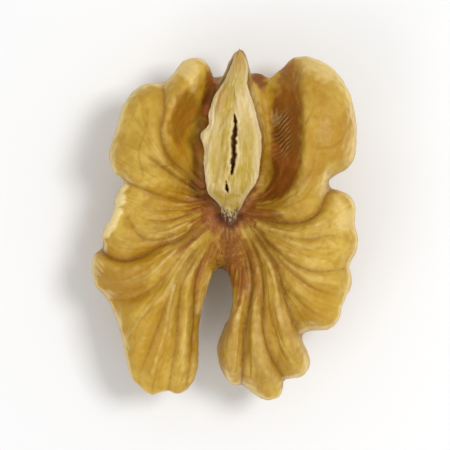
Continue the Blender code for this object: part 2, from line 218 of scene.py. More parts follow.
@dataclass(frozen=True)
class Path:
    """A smooth open line through points of the drawing, as seen from above."""

    points: tuple[Point, ...]
    steps: int = 8

    def line(self) -> np.ndarray:
        """Points close together along the line, ends included."""
        knots = np.array(self.points, float)
        knots = np.vstack([2 * knots[0] - knots[1], knots, 2 * knots[-1] - knots[-2]])
        t = np.linspace(0.0, 1.0, self.steps, endpoint=False)[:, None]
        runs = []
        for before, one, other, after in zip(knots, knots[1:], knots[2:], knots[3:]):
            runs.append(
                one
                + 0.5 * (other - before) * t
                + (before - 2.5 * one + 2.0 * other - 0.5 * after) * t**2
                + (1.5 * (one - other) + 0.5 * (after - before)) * t**3
            )
        return np.vstack([*runs, knots[-2:-1]])

    def nearest(self, x: np.ndarray, y: np.ndarray) -> tuple[np.ndarray, np.ndarray]:
        """Finds the nearest place on the line for each point.

        Args:
            x: The points' places across the kernel.
            y: The points' places along the kernel.

        Returns:
            The distance to the line, and the share of its length passed there.
        """
        line = self.line()
        runs = np.hypot(*np.diff(line, axis=0).T)
        passed = np.concatenate([[0.0], np.cumsum(runs)])
        best = np.full(len(x), np.inf)
        share = np.zeros(len(x))
        for (x0, y0), (x1, y1), run, start in zip(line, line[1:], runs, passed):
            along = ((x - x0) * (x1 - x0) + (y - y0) * (y1 - y0)) / run**2
            along = np.clip(along, 0.0, 1.0)
            away = np.hypot(x - x0 - along * (x1 - x0), y - y0 - along * (y1 - y0))
            nearer = away < best
            best = np.where(nearer, away, best)
            share = np.where(nearer, (start + along * run) / passed[-1], share)
        return best, share


@dataclass(frozen=True)
class Fold:
    """A crease between two folds of the skin.

    Attributes:
        points: Its line, from the hub's side to the rim.
        depth: How deep it is, in millimetres.
        width: How far its flanks reach from the line, in millimetres.
        stain: How dark the painted shade along its crease is.
        at_rim: The share of its depth that is left at the rim.
        at_hub: The share of its depth that it starts with.
    """

    points: tuple[Point, ...]
    depth: float
    width: float = 0.3
    stain: float = 0.6
    at_rim: float = 0.3
    at_hub: float = 0.35

    def taper(self, share: np.ndarray) -> np.ndarray:
        """How much of the crease's depth is left at each share of its length."""
        fade_in = self.at_hub + (1.0 - self.at_hub) * smooth_step(0.0, 0.2, share)
        return fade_in * (1.0 - (1.0 - self.at_rim) * smooth_step(0.6, 1.0, share))


@dataclass(frozen=True)
class Crest:
    """A raised line along the top of a fold, its height and width in millimetres."""

    points: tuple[Point, ...]
    height: float = 0.2
    width: float = 0.4


@dataclass(frozen=True)
class Pleats:
    """Fine pleats of one size, which run along the folds.

    Attributes:
        across: How many lie between two folds.
        along: How many follow each other along a millimetre of a fold.
        height: How high they are, in millimetres.
        seed: The seed of their noise.
    """

    across: float
    along: float
    height: float
    seed: int


@dataclass(frozen=True)
class Gills:
    """The gill-like ridges on the wall of the right hollow.

    Attributes:
        spacing: The distance from one ridge to the next, in millimetres.
        depth: How far they are raised and sunk, in millimetres.
        left: The x at which they start, and that at which they are full.
        right: The same at their other end.
        lower: The y at which they start, and that at which they are full.
        upper: The same at the last ridge.
        foot: The x at which they leave the floor of the hollow.
        climb: How steeply they then bend towards the tip.
        bends: How far each ridge strays.
        strength: Their mean strength.
        patches: What is added to that strength from place to place.
    """

    spacing: float = 0.5
    depth: float = 0.08
    left: Point = (4.1, 4.9)
    right: Point = (6.7, 5.7)
    lower: Point = (5.6, 7.2)
    upper: Point = (12.2, 10.4)
    foot: float = 4.0
    climb: float = 0.33
    bends: Rough = Rough(((0.2, 1.3, 11),))
    strength: float = 0.7
    patches: Rough = Rough(((0.8, 0.8, 12),))

    def at(self, points: np.ndarray) -> np.ndarray:
        """Reads the ridges.

        Args:
            points: Rows of x, y and z in drawn millimetres.

        Returns:
            From -1 on a ridge to 1 between two of them, and 0 away from them.
        """
        x, y, _ = points.T
        where = smooth_step(*self.left, x) * smooth_step(*self.right, x)
        where = where * smooth_step(*self.lower, y) * smooth_step(*self.upper, y)
        rise = y - self.climb * np.clip(x - self.foot, 0.0, None) ** 2 + self.bends.at(points)
        uneven = self.strength + self.patches.at(points)
        return where * uneven * np.cos(rise * 2.0 * math.pi / self.spacing)


@dataclass(frozen=True)
class Stain:
    """A patch of one tone, spread about a line.

    Attributes:
        tone: Its tone.
        points: The line.
        radius: How far it spreads from the line, in millimetres.
        strength: Its strength on the line.
        crisp: 0 for a ragged soft edge, and up to 1 for an even hard one.
        fades: The share of the line, at its end, over which the stain fades.
    """

    tone: Tone
    points: tuple[Point, ...]
    radius: float
    strength: float = 1.0
    crisp: float = 0.0
    fades: float = 0.0

    def at(self, x: np.ndarray, y: np.ndarray, ragged: np.ndarray) -> np.ndarray:
        """Reads the stain.

        Args:
            x: The points' places across the kernel.
            y: The points' places along the kernel.
            ragged: How far the stain's edge is pushed out or in at each point.

        Returns:
            The stain's strength at each point.
        """
        away, share = Path(self.points).nearest(x, y)
        edge = away / self.radius + ragged * (1.0 - self.crisp)
        if self.fades:
            edge += smooth_step(1.0 - self.fades, 1.0, share)
        full, none = 0.3 + 0.5 * self.crisp, 1.2 - 0.2 * self.crisp
        return self.strength * (1.0 - smooth_step(full, none, edge))


def select_only(piece: bpy.types.Object) -> None:
    """Selects one object and makes it active."""
    bpy.ops.object.select_all(action="DESELECT")
    piece.select_set(True)
    bpy.context.view_layer.objects.active = piece


def points_of(piece: bpy.types.Object) -> np.ndarray:
    """The piece's points, as rows of x, y and z."""
    points = np.empty(len(piece.data.vertices) * 3)
    piece.data.vertices.foreach_get("co", points)
    return points.reshape(-1, 3)


def move_points(piece: bpy.types.Object, points: np.ndarray) -> None:
    """Puts the piece's points where these rows say."""
    piece.data.vertices.foreach_set("co", points.ravel())
    piece.data.update()


def edge_ends(piece: bpy.types.Object) -> tuple[np.ndarray, np.ndarray]:
    """The numbers of the points at the two ends of each of the piece's edges."""
    ends = np.empty(len(piece.data.edges) * 2, int)
    piece.data.edges.foreach_get("vertices", ends)
    one, other = ends.reshape(-1, 2).T
    return one, other


def averaged(piece: bpy.types.Object, rows: np.ndarray, rounds: int) -> np.ndarray:
    """Averages each point's row with those of its neighbours.

    Args:
        piece: The piece whose edges say which points are neighbours.
        rows: A row of three numbers for each point.
        rounds: How often it is done.

    Returns:
        The averaged rows.
    """
    one, other = edge_ends(piece)
    shares = 1.0 + np.bincount(one, minlength=len(rows)) + np.bincount(other, minlength=len(rows))
    for _ in range(rounds):
        total = rows.copy()
        for axis in range(3):
            total[:, axis] += np.bincount(one, rows[other, axis], len(rows))
            total[:, axis] += np.bincount(other, rows[one, axis], len(rows))
        rows = total / shares[:, None]
    return rows


def normals_of(piece: bpy.types.Object, rounds: int = 0) -> np.ndarray:
    """Where the piece's points face.

    Args:
        piece: The piece to read.
        rounds: How often each direction is averaged with its neighbours'.

    Returns:
        Rows of unit vectors.
    """
    normals = np.empty(len(piece.data.vertices) * 3)
    piece.data.vertex_normals.foreach_get("vector", normals)
    normals = averaged(piece, normals.reshape(-1, 3), rounds)
    return normals / np.linalg.norm(normals, axis=1)[:, None]


def hollows_of(piece: bpy.types.Object, rounds: int) -> np.ndarray:
    """How far each point lies under the mean of those about it, below 0 on a ridge."""
    points = points_of(piece)
    return ((averaged(piece, points, rounds) - points) * normals_of(piece)).sum(axis=1)


def spread_of(
    piece: bpy.types.Object, values: np.ndarray, least_slope: float = 0.05, rounds: int = 6
) -> np.ndarray:
    """How far one has to go from each point for the values to change by one.

    Args:
        piece: The piece that the values lie on.
        values: A number for each point.
        least_slope: The slope that is taken where the values hardly change.
        rounds: How often the slopes are averaged with their neighbours'.

    Returns:
        The distance at each point.
    """
    points = points_of(piece)
    one, other = edge_ends(piece)
    slope = np.abs(values[one] - values[other]) / np.linalg.norm(points[one] - points[other], axis=1)
    steepest = np.full(len(values), least_slope)
    np.maximum.at(steepest, one, slope)
    np.maximum.at(steepest, other, slope)
    return 1.0 / averaged(piece, np.repeat(steepest[:, None], 3, axis=1), rounds)[:, 0]


def keep_values(piece: bpy.types.Object, name: str, values: np.ndarray) -> None:
    """Keeps one number for each point of the piece, for its material to read."""
    layer = piece.data.attributes.new(name, "FLOAT", "POINT")
    layer.data.foreach_set("value", np.clip(values, 0.0, 1.0).astype(np.float32))


class Tones:
    """The share of each tone at each point of a piece."""

    def __init__(self, count: int) -> None:
        """Starts with no tone on any of the points."""
        self.shares = {tone: np.zeros(count) for tone in Tone}

    def add(self, tone: Tone, share: np.ndarray) -> None:
        """Lays a share of the tone over what is there."""
        self.shares[tone] = np.maximum(self.shares[tone], share)

    def keep_on(self, piece: bpy.types.Object) -> None:
        """Keeps the shares on the piece, for its material to read."""
        for tone, share in self.shares.items():
            keep_values(piece, tone.value, share)


def apply_modifier(piece: bpy.types.Object, kind: str, **settings: object) -> None:
    """Gives the piece one modifier with these settings, and applies it."""
    modifier = piece.modifiers.new(kind.title(), kind)
    for name, value in settings.items():
        setattr(modifier, name, value)
    bpy.ops.object.modifier_apply(modifier=modifier.name)


def finish_piece(piece: bpy.types.Object, name: str, material: bpy.types.Material) -> None:
    """Names and dresses a piece, and ties it to the frame.

    Args:
        piece: The finished mesh object, in metres.
        name: The piece's name.
        material: What it is dressed in.
    """
    piece.name = piece.data.name = name
    piece.data.materials.clear()
    piece.data.materials.append(material)
    piece.data.shade_smooth()
    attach(piece, BODY)
    log.info("%s: %d faces", name, len(piece.data.polygons))


class Graph:
    """A material's nodes, with a short call for each kind that the finishes use."""

    def __init__(self, name: str) -> None:
        """Starts a material that has only its Principled shader."""
        self.material = bpy.data.materials.new(name)
        self.material.use_nodes = True
        self.nodes = self.material.node_tree.nodes
        self.shader = self.nodes["Principled BSDF"]
        self.place = self.nodes.new("ShaderNodeTexCoord").outputs["Object"]

    def feed(self, node: bpy.types.Node, values: dict) -> bpy.types.Node:
        """Sets or links a node's inputs.

        Args:
            node: The node.
            values: A number, colour or other node's output for each input.

        Returns:
            The node.
        """
        for key, value in values.items():
            if isinstance(value, bpy.types.NodeSocket):
                self.material.node_tree.links.new(value, node.inputs[key])
            else:
                node.inputs[key].default_value = value
        return node

    def attribute(self, name: str, output: str = "Fac") -> bpy.types.NodeSocket:
        """Reads a mesh attribute."""
        node = self.nodes.new("ShaderNodeAttribute")
        node.attribute_name = name
        return node.outputs[output]

    def noise(
        self,
        size: float,
        stretch: tuple[float, float, float] = (1.0, 1.0, 1.0),
        detail: float = 3.0,
        distortion: float = 0.0,
        source: bpy.types.NodeSocket | None = None,
    ) -> bpy.types.NodeSocket:
        """Mottling.

        Args:
            size: The size of a patch, in the source's units.
            stretch: How much longer than that a patch is along each axis.
            detail: How many finer patterns lie on the first.
            distortion: How much the patches are bent.
            source: The coordinates, which are the piece's own place unless given.

        Returns:
            A value about 0.5, from 0 to 1.
        """
        mapping = self.nodes.new("ShaderNodeMapping")
        scale = tuple(1.0 / (size * part) for part in stretch)
        self.feed(mapping, {"Vector": source or self.place, "Scale": scale})
        noise = self.nodes.new("ShaderNodeTexNoise")
        settings = {"Scale": 1.0, "Detail": detail, "Distortion": distortion}
        self.feed(noise, {"Vector": mapping.outputs["Vector"], **settings})
        return noise.outputs[0]

    def ramp(self, value: bpy.types.NodeSocket, low: float, high: float) -> bpy.types.NodeSocket:
        """Climbs smoothly from 0 at the low value to 1 at the high one."""
        node = self.nodes.new("ShaderNodeMapRange")
        node.interpolation_type = "SMOOTHSTEP"
        self.feed(node, {"Value": value, "From Min": low, "From Max": high})
        return node.outputs["Result"]

    def maths(self, operation: str, one: object, other: object) -> bpy.types.NodeSocket:
        """One operation on two numbers or outputs."""
        node = self.nodes.new("ShaderNodeMath")
        node.operation = operation
        self.feed(node, {0: one, 1: other})
        return node.outputs[0]

    def mix(self, share: object, one: object, other: object) -> bpy.types.NodeSocket:
        """Mixes two colours, each an output or 8-bit red, green and blue."""
        node = self.nodes.new("ShaderNodeMix")
        node.data_type = "RGBA"
        shown = [self.paint(colour) for colour in (one, other)]
        self.feed(node, {0: share, 6: shown[0], 7: shown[1]})
        return node.outputs[2]

    @staticmethod
    def paint(colour: object) -> object:
        """Turns 8-bit red, green and blue into linear light, and leaves outputs alone."""
        if isinstance(colour, bpy.types.NodeSocket):
            return colour
        shares = [part / 255.0 for part in colour]
        return (*[((part + 0.055) / 1.055) ** 2.4 for part in shares], 1.0)

    def bump(
        self, height: bpy.types.NodeSocket, depth: float, under: bpy.types.NodeSocket | None = None
    ) -> bpy.types.NodeSocket:
        """Fine relief.

        Args:
            height: The relief, from 0 to 1.
            depth: How deep it is, in metres.
            under: Coarser relief that it lies on.

        Returns:
            The normal.
        """
        node = self.nodes.new("ShaderNodeBump")
        self.feed(node, {"Height": height, "Distance": depth})
        if under is not None:
            self.feed(node, {"Normal": under})
        return node.outputs["Normal"]

    def shade(self, colour: object, roughness: object, normal: object = None) -> None:
        """Gives the shader its colour, roughness and relief."""
        self.feed(self.shader, {"Base Color": self.paint(colour), "Roughness": roughness})
        if normal is not None:
            self.feed(self.shader, {"Normal": normal})


@dataclass(frozen=True)
class SkinFinish:
    """The satin tan skin, with its veins, its brown and golden stains, and its painted shade and
    highlights.

    Sizes and depths are in millimetres. A share is the most that a colour covers. Where
    the mottling is weakest a tone, painted shade and highlights included, keeps stain_kept of
    its strength, and stain_broken is added where it is strongest.
    """

    # gold, deep, pale, dark and vein also carry painted shade in hollows, creases, furrows, gill grooves
    # and beside the torn middle, and painted highlights on ridges, rims, gill ridges and lobe tops
    tan: Colour = (184, 144, 42)
    light: Colour = (203, 168, 68)
    honey: Colour = (172, 126, 22)
    gold: Colour = (182, 136, 18)
    deep: Colour = (150, 97, 17)
    brown: Colour = (142, 78, 18)
    red_brown: Colour = (116, 52, 18)
    russet: Colour = (180, 108, 46)
    pale: Colour = (242, 218, 150)
    dark: Colour = (96, 50, 12)
    vein: Colour = (128, 72, 14)
    broad_size: float = 3.0
    patch_size: float = 1.1
    fine_size: float = 0.3
    honey_share: float = 0.5
    streak_share: float = 0.45
    bright_share: float = 0.4
    streak_depth: float = 0.09
    patch_depth: float = 0.08
    fine_depth: float = 0.045
    stain_kept: float = 0.5
    stain_broken: float = 0.9
    smoothest: float = 0.3
    roughening: float = 0.3
    shine: float = 0.32

    def material(self) -> bpy.types.Material:
        """Builds the skin's material."""
        graph = Graph("kernel_skin")
        broad = graph.noise(self.broad_size * MM, detail=2.0)
        patchy = graph.noise(self.patch_size * MM, detail=4.0, distortion=0.5)
        fine = graph.noise(self.fine_size * MM, detail=4.0)
        streaks = graph.noise(1.0, detail=5.0, source=graph.attribute(FAN, "Vector"))
        colour = graph.mix(graph.ramp(broad, 0.36, 0.64), self.tan, self.light)
        for climb, share, over in (
            (graph.ramp(patchy, 0.46, 0.66), self.honey_share, self.honey),
            (graph.ramp(streaks, 0.5, 0.68), self.streak_share, self.honey),
            (graph.ramp(streaks, 0.5, 0.34), self.bright_share, self.light),
        ):
            colour = graph.mix(graph.maths("MULTIPLY", climb, share), colour, over)
        browns = graph.mix(graph.ramp(streaks, 0.36, 0.54), self.red_brown, self.brown)
        browns = graph.mix(graph.ramp(streaks, 0.52, 0.66), browns, self.russet)
        # these tones lay painted shade and painted highlights as well as the skin's stains
        for tone, pattern, over in (
            (Tone.GOLD, patchy, self.gold),
            (Tone.DEEP, fine, self.deep),
            (Tone.BROWN, streaks, browns),
            (Tone.PALE, fine, self.pale),
            (Tone.VEIN_AND_FURROW_SHADE, fine, self.vein),
            (Tone.DARK, fine, self.dark),
        ):
            colour = graph.mix(self.broken(graph, tone, pattern), colour, over)
        relief = graph.bump(streaks, self.streak_depth * MM)
        relief = graph.bump(patchy, self.patch_depth * MM, relief)
        relief = graph.bump(fine, self.fine_depth * MM, relief)
        roughness = graph.maths("MULTIPLY", fine, self.roughening)
        graph.shade(colour, graph.maths("ADD", roughness, self.smoothest), relief)
        graph.shader.inputs["Specular IOR Level"].default_value = self.shine
        return graph.material

    def broken(
        self, graph: Graph, tone: Tone, pattern: bpy.types.NodeSocket
    ) -> bpy.types.NodeSocket:
        """A tone's share, painted shade and highlights included, with its strength broken up by a pattern.

        Args:
            graph: The material's nodes.
            tone: The tone.
            pattern: The mottling that breaks it up.

        Returns:
            The tone's share.
        """
        share = graph.attribute(tone.value)
        uneven = graph.maths("MULTIPLY", pattern, self.stain_broken)
        uneven = graph.maths("ADD", uneven, self.stain_kept)
        product = graph.maths("MULTIPLY", share, uneven)
        product.node.use_clamp = True
        return product


@dataclass(frozen=True)
class TornFinish:
    """The cream flesh of the torn middle, fibrous along its length, with painted shade in its slits, in
    millimetres.
    """

    cream: Colour = (192, 165, 94)
    bright: Colour = (228, 206, 158)
    yellow: Colour = (180, 153, 60)
    tan: Colour = (178, 126, 52)
    # slit: the painted shade inside the slits
    slit: Colour = (84, 42, 12)
    fibre_size: float = 0.22
    fibre_depth: float = 0.07
    patch_size: float = 1.0
    roughness: float = 0.68
    shine: float = 0.3

    def material(self) -> bpy.types.Material:
        """Builds the torn flesh's material."""
        graph = Graph("torn_flesh")
        fibres = graph.noise(self.fibre_size * MM, (1.0, 6.0, 3.0), detail=5.0, distortion=0.5)
        patches = graph.noise(self.patch_size * MM, (1.0, 2.0, 1.0), detail=3.0)
        colour = graph.mix(graph.ramp(patches, 0.38, 0.6), self.yellow, self.cream)
        colour = graph.mix(graph.ramp(fibres, 0.54, 0.84), colour, self.bright)
        # DARK lays the painted shade inside the slits
        for tone, over in ((Tone.GOLD, self.tan), (Tone.PALE, self.bright), (Tone.DARK, self.slit)):
            colour = graph.mix(graph.attribute(tone.value), colour, over)
        graph.shade(colour, self.roughness, graph.bump(fibres, self.fibre_depth * MM))
        graph.shader.inputs["Specular IOR Level"].default_value = self.shine
        return graph.material


@dataclass(frozen=True)
class FibreFinish:
    """The dull ends of the torn fibres at the hub, with sizes in millimetres."""

    dark: Colour = (96, 74, 60)
    light: Colour = (196, 178, 138)
    mottle_size: float = 0.3
    roughness: float = 0.8

    def material(self) -> bpy.types.Material:
        """Builds the fibres' material."""
        graph = Graph("fibre_ends")
        mottling = graph.noise(self.mottle_size * MM, detail=2.0)
        colour = graph.mix(graph.ramp(mottling, 0.4, 0.6), self.dark, self.light)
        graph.shade(colour, self.roughness)
        return graph.material


@dataclass(frozen=True)
class FloorFinish:
    """The plain pale surface under the kernel, with sizes in millimetres."""

    white: Colour = (240, 240, 240)
    shade: Colour = (234, 234, 235)
    cloud_size: float = 60.0
    roughness: float = 0.7

    def material(self) -> bpy.types.Material:
        """Builds the floor's material."""
        graph = Graph("pale_floor")
        cloudy = graph.noise(self.cloud_size * MM, detail=2.0)
        graph.shade(graph.mix(cloudy, self.white, self.shade), self.roughness)
        return graph.material


@dataclass(frozen=True)
class Slit:
    """A gaping slit in the torn face.

    Attributes:
        points: Its line, from the tip's side to the hub's.
        widths: Shares of its length, each with half the slit's width there in millimetres.
    """

    points: tuple[Point, ...]
    widths: tuple[Point, ...]


@dataclass(frozen=True)
class Strands:
    """Strands of one size along the torn face, in millimetres."""

    width: float
    length: float
    height: float
    seed: int

    def at(self, lean: np.ndarray, y: np.ndarray) -> np.ndarray:
        """Their height at each point, whose x leans with the strands."""
        rows = np.column_stack([lean / self.width, y / self.length, np.zeros_like(y)])
        return self.height * Noise(1.0, self.seed).pleats(rows)


@dataclass
class TornMiddle:
    """The pale spindle where the kernel was torn from its other half.

    Its face is a grid drawn out to the two edges, and a skirt of three rows runs from
    there down into the flesh. The skirt's fields hold a value for the face and for each
    row: the share of the face's width and length, and how far it lies under the face.
    Lengths are in millimetres, and tones run from 0 to 1.

    Attributes:
        left_edge: The face's left edge, from the hub to the tip.
        right_edge: Its right edge.
        left_rough: How far the left edge strays to the right.
        right_rough: How far the right edge strays to the right.
        columns: How many cells of the grid lie across the face.
        rows: How many lie along it.
        least_half: Half the width that is left at the two ends.
        tip_slimming: The share of the skirt's drop that is lost at the tip.
        tip_lift: How far the skirt's last row is raised towards the tip.
        top: The face's height.
        hub_drop: How far it sinks towards the hub.
        tip_drop: How far it sinks towards the tip.
        rim_drop: How far it sinks towards its edges.
        rim_roll: How high the rolled rim just inside the edges is.
        rim_at: The share of the way to the edge at which that rim lies.
        swells: Raised and sunken places.
        parting: Where the strands part, on the line from which they lean.
        left_lean: How far the strands left of it lean for each millimetre of y.
        right_lean: The same for those right of it.
        slit_floor: How deep the slits are.
        lip_at: How far the pale lips lie outside the slits.
        lip_width: How wide the lips are.
        rim_pale: How pale the rim is.
        lip_pale: How pale the lips are.
        right_pale: How pale the upper right is.
        left_pale: The pale patch at the left.
        left_tan: The tan patch at the upper left.
        tip_tan: How tan the tip is.
        skirt_tan: How tan the skirt is.
    """

    left_edge: tuple[Point, ...] = (
        (0.1, 0.75), (-0.5, 1.0), (-1.0, 2.0), (-1.75, 3.0), (-2.1, 4.1), (-2.3, 5.4),
        (-2.25, 6.5), (-2.35, 7.8), (-2.6, 8.95), (-2.05, 9.6), (-1.7, 10.9),
        (-1.4, 12.2), (-0.8, 13.6), (-0.05, 14.9), (0.5, 16.2), (1.0, 17.1), (1.15, 17.3),
    )
    right_edge: tuple[Point, ...] = (
        (0.2, 0.75), (0.7, 1.0), (1.4, 1.7), (2.0, 2.75), (2.6, 3.8), (3.1, 5.1),
        (3.3, 6.5), (3.3, 8.0), (3.15, 9.3), (2.8, 10.7), (2.35, 12.2), (2.15, 13.3),
        (1.95, 14.9), (1.75, 16.2), (1.35, 17.1), (1.2, 17.3),
    )
    left_rough: Rough = Rough(((0.26, 1.7, 31), (0.06, 0.5, 32)))
    right_rough: Rough = Rough(((-0.26, 1.9, 33), (-0.06, 0.6, 34)))
    columns: int = 64
    rows: int = 200
    least_half: float = 0.02
    skirt_widths: tuple[float, ...] = (1.0, 0.97, 0.8, 0.5)
    skirt_lengths: tuple[float, ...] = (1.0, 0.995, 0.95, 0.88)
    skirt_drops: tuple[float, ...] = (0.0, 0.35, 2.4, 3.2)
    tip_slimming: float = 0.65
    tip_lift: float = 1.6
    top: float = 11.15
    hub_drop: float = 3.0
    tip_drop: float = 1.3
    rim_drop: float = 0.9
    rim_roll: float = 0.25
    rim_at: float = 0.82
    swells: tuple[Patch, ...] = (
        Patch((1.5, 11.6), (0.6, 2.2), 0.35),
        Patch((-0.9, 6.5), (0.7, 3.0), -0.3),
    )
    parting: Point = (0.6, 8.0)
    left_lean: float = -0.22
    right_lean: float = 0.12
    strands: tuple[Strands, ...] = (Strands(0.6, 3.2, 0.36, 23), Strands(0.24, 1.5, 0.12, 24))
    rim_rough: Rough = Rough(((0.7, 1.4, 5),))
    face_rough: Rough = Rough(((0.16, 1.3, 26), (0.06, 0.4, 25)))
    slits: tuple[Slit, ...] = (
        Slit(
            ((0.63, 11.0), (0.78, 9.6), (0.6, 8.2), (0.66, 7.0), (0.5, 5.6), (0.35, 4.5)),
            ((0.0, 0.0), (0.15, 0.14), (0.4, 0.26), (0.55, 0.2), (0.72, 0.3), (0.9, 0.14), (1.0, 0.0)),
        ),
        Slit(((-0.18, 4.4), (-0.05, 3.6), (0.14, 2.7)), ((0.0, 0.0), (0.3, 0.1), (0.6, 0.16), (1.0, 0.0))),
    )
    slit_rough: Rough = Rough(((0.12, 0.5, 21), (0.05, 0.2, 22)))
    slit_floor: float = 0.8
    lip_at: float = 0.16
    lip_width: float = 0.12
    rim_pale: float = 0.75
    lip_pale: float = 0.7
    right_pale: float = 0.6
    left_pale: Patch = Patch((-1.3, 10.0), (0.7, 1.6), 0.4)
    left_tan: Patch = Patch((-0.8, 13.0), (0.6, 1.9), 0.72)
    tip_tan: float = 0.6
    skirt_tan: float = 0.8

    def edges(self, y: np.ndarray) -> tuple[np.ndarray, np.ndarray]:
        """The left and right edge at each place along the kernel."""
        sides = []
        for edge in (self.left_edge, self.right_edge):
            line = Path(edge).line()
            sides.append(np.interp(y, line[:, 1], line[:, 0]))
        return sides[0], sides[1]

    def inside(self, x: np.ndarray, y: np.ndarray) -> np.ndarray:
        """How far each point lies inside the edges, and less than 0 outside them."""
        left, right = self.edges(y)
        ends = np.minimum(y - self.left_edge[0][1], self.left_edge[-1][1] - y)
        return np.minimum(np.minimum(x - left, right - x), ends)

    def slit_depth(self, x: np.ndarray, y: np.ndarray) -> tuple[np.ndarray, np.ndarray]:
        """How open the slits are, and how near their lips.

        Args:
            x: The points' places across the kernel.
            y: The points' places along the kernel.

        Returns:
            The openness, from 0 outside a slit to 1 well inside it, and the nearness of a
            lip, from 0 away from it to 1 on it.
        """
        opened, lips = np.zeros_like(x), np.zeros_like(x)
        ragged = self.slit_rough.at(np.column_stack([x, y, np.zeros_like(x)]))
        for slit in self.slits:
            away, share = Path(slit.points).nearest(x, y)
            places, halves = np.array(slit.widths).T
            half = np.interp(share, places, halves)
            inner = half - away + ragged * (half > 0.03)
            opened = np.maximum(opened, smooth_step(-0.02, 0.1, inner))
            lip = hill(inner + self.lip_at, self.lip_width)
            lips = np.maximum(lips, lip * smooth_step(0.0, 0.15, half))
        return opened, lips

    def surface(self, x: np.ndarray, y: np.ndarray, across: np.ndarray) -> np.ndarray:
        """The height of the torn face.

        Args:
            x: The points' places across the kernel.
            y: The points' places along the kernel.
            across: The share of the way from the middle to the edge, negative at the left.

        Returns:
            The height at each point.
        """
        flat = np.column_stack([x, y, np.zeros_like(x)])
        height = self.top - self.hub_drop * smooth_step(4.2, 0.2, y)
        height -= self.tip_drop * smooth_step(12.0, 17.3, y)
        height -= self.rim_drop * np.abs(across) ** 3
        roll = hill(np.abs(across) - self.rim_at, 0.15)
        height += self.rim_roll * roll * (0.5 + self.rim_rough.at(flat))
        height += sum(swell.at(x, y) for swell in self.swells)
        slope = np.where(x < self.parting[0], self.left_lean, self.right_lean)
        lean = x + slope * (y - self.parting[1])
        height += sum(strands.at(lean, y) for strands in self.strands)
        return height + self.face_rough.at(flat)

    def build(self) -> bpy.types.Object:
        """Builds the spindle as one closed piece.

        Returns:
            The piece.
        """
        bpy.ops.object.select_all(action="DESELECT")
        bpy.ops.mesh.primitive_grid_add(
            x_subdivisions=self.columns, y_subdivisions=self.rows, size=2.0
        )
        piece = bpy.context.object
        bpy.ops.object.mode_set(mode="EDIT")
        bpy.ops.mesh.select_all(action="SELECT")
        bpy.ops.mesh.region_to_loop()
        for _ in self.skirt_drops[1:]:
            bpy.ops.mesh.extrude_edges_move(TRANSFORM_OT_translate={"value": (0.0, 0.0, -1.0)})
        bpy.ops.mesh.edge_face_add()
        bpy.ops.mesh.quads_convert_to_tris()
        bpy.ops.object.mode_set(mode="OBJECT")
        self.shape(piece)
        bpy.ops.object.mode_set(mode="EDIT")
        bpy.ops.mesh.select_all(action="SELECT")
        bpy.ops.mesh.remove_doubles(threshold=0.004 * MM)
        bpy.ops.mesh.normals_make_consistent(inside=False)
        bpy.ops.object.mode_set(mode="OBJECT")
        finish_piece(piece, "torn_middle", TornFinish().material())
        return piece

    def shape(self, piece: bpy.types.Object) -> None:
        """Draws the flat grid out to the edges, and its skirt down into the flesh."""
        unit = points_of(piece)
        level = np.round(-unit[:, 2]).astype(int)
        low, high = self.left_edge[0][1], self.left_edge[-1][1]
        y = low + (unit[:, 1] + 1.0) / 2.0 * (high - low)
        left, right = self.edges(y)
        along = np.column_stack([y, np.zeros_like(y), np.zeros_like(y)])
        left = left + self.left_rough.at(along)
        right = right + self.right_rough.at(along)
        middle, half = (left + right) / 2.0, np.maximum((right - left) / 2.0, self.least_half)
        x = middle + half * unit[:, 0] * np.choose(level, self.skirt_widths)
        opened, _ = self.slit_depth(x, y)
        slimmer = 1.0 - self.tip_slimming * smooth_step(13.0, 17.0, y)
        z = self.surface(x, y, unit[:, 0]) - self.slit_floor * opened * (level == 0)
        z -= np.choose(level, self.skirt_drops) * slimmer
        y_middle = (low + high) / 2.0
        y = y_middle + (y - y_middle) * np.choose(level, self.skirt_lengths)
        lowest = level == len(self.skirt_drops) - 1
        z = np.where(lowest, z[lowest].min() + self.tip_lift * smooth_step(9.0, 17.0, y), z)
        move_points(piece, DRAWING.to_frame(np.column_stack([x, y, z])))
        self.tint(piece, unit[:, 0], level, x, y)

    def tint(
        self, piece: bpy.types.Object, across: np.ndarray, level: np.ndarray, x: np.ndarray, y: np.ndarray
    ) -> None:
        """Keeps the spindle's tones, for its finish to read.

        Args:
            piece: The drawn spindle.
            across: The share of the way from the middle to the edge, negative at the left.
            level: 0 on the face, and the row's number on the skirt.
            x: The points' places across the kernel.
            y: The points' places along the kernel.
        """
        face = level == 0
        opened, lips = self.slit_depth(x, y)
        pale = self.rim_pale * smooth_step(0.64, 0.94, np.abs(across)) * face
        pale += self.right_pale * hill(y - 11.8, 1.8) * (x > 0.7)
        pale += (self.lip_pale * lips + self.left_pale.at(x, y)) * face
        keep_values(piece, Tone.PALE.value, pale)
        tan = self.left_tan.at(x, y) + self.tip_tan * smooth_step(14.5, 17.0, y)
        keep_values(piece, Tone.GOLD.value, tan + self.skirt_tan * (level > 1))
        # painted shade inside the open slits
        keep_values(piece, Tone.DARK.value, opened * face)


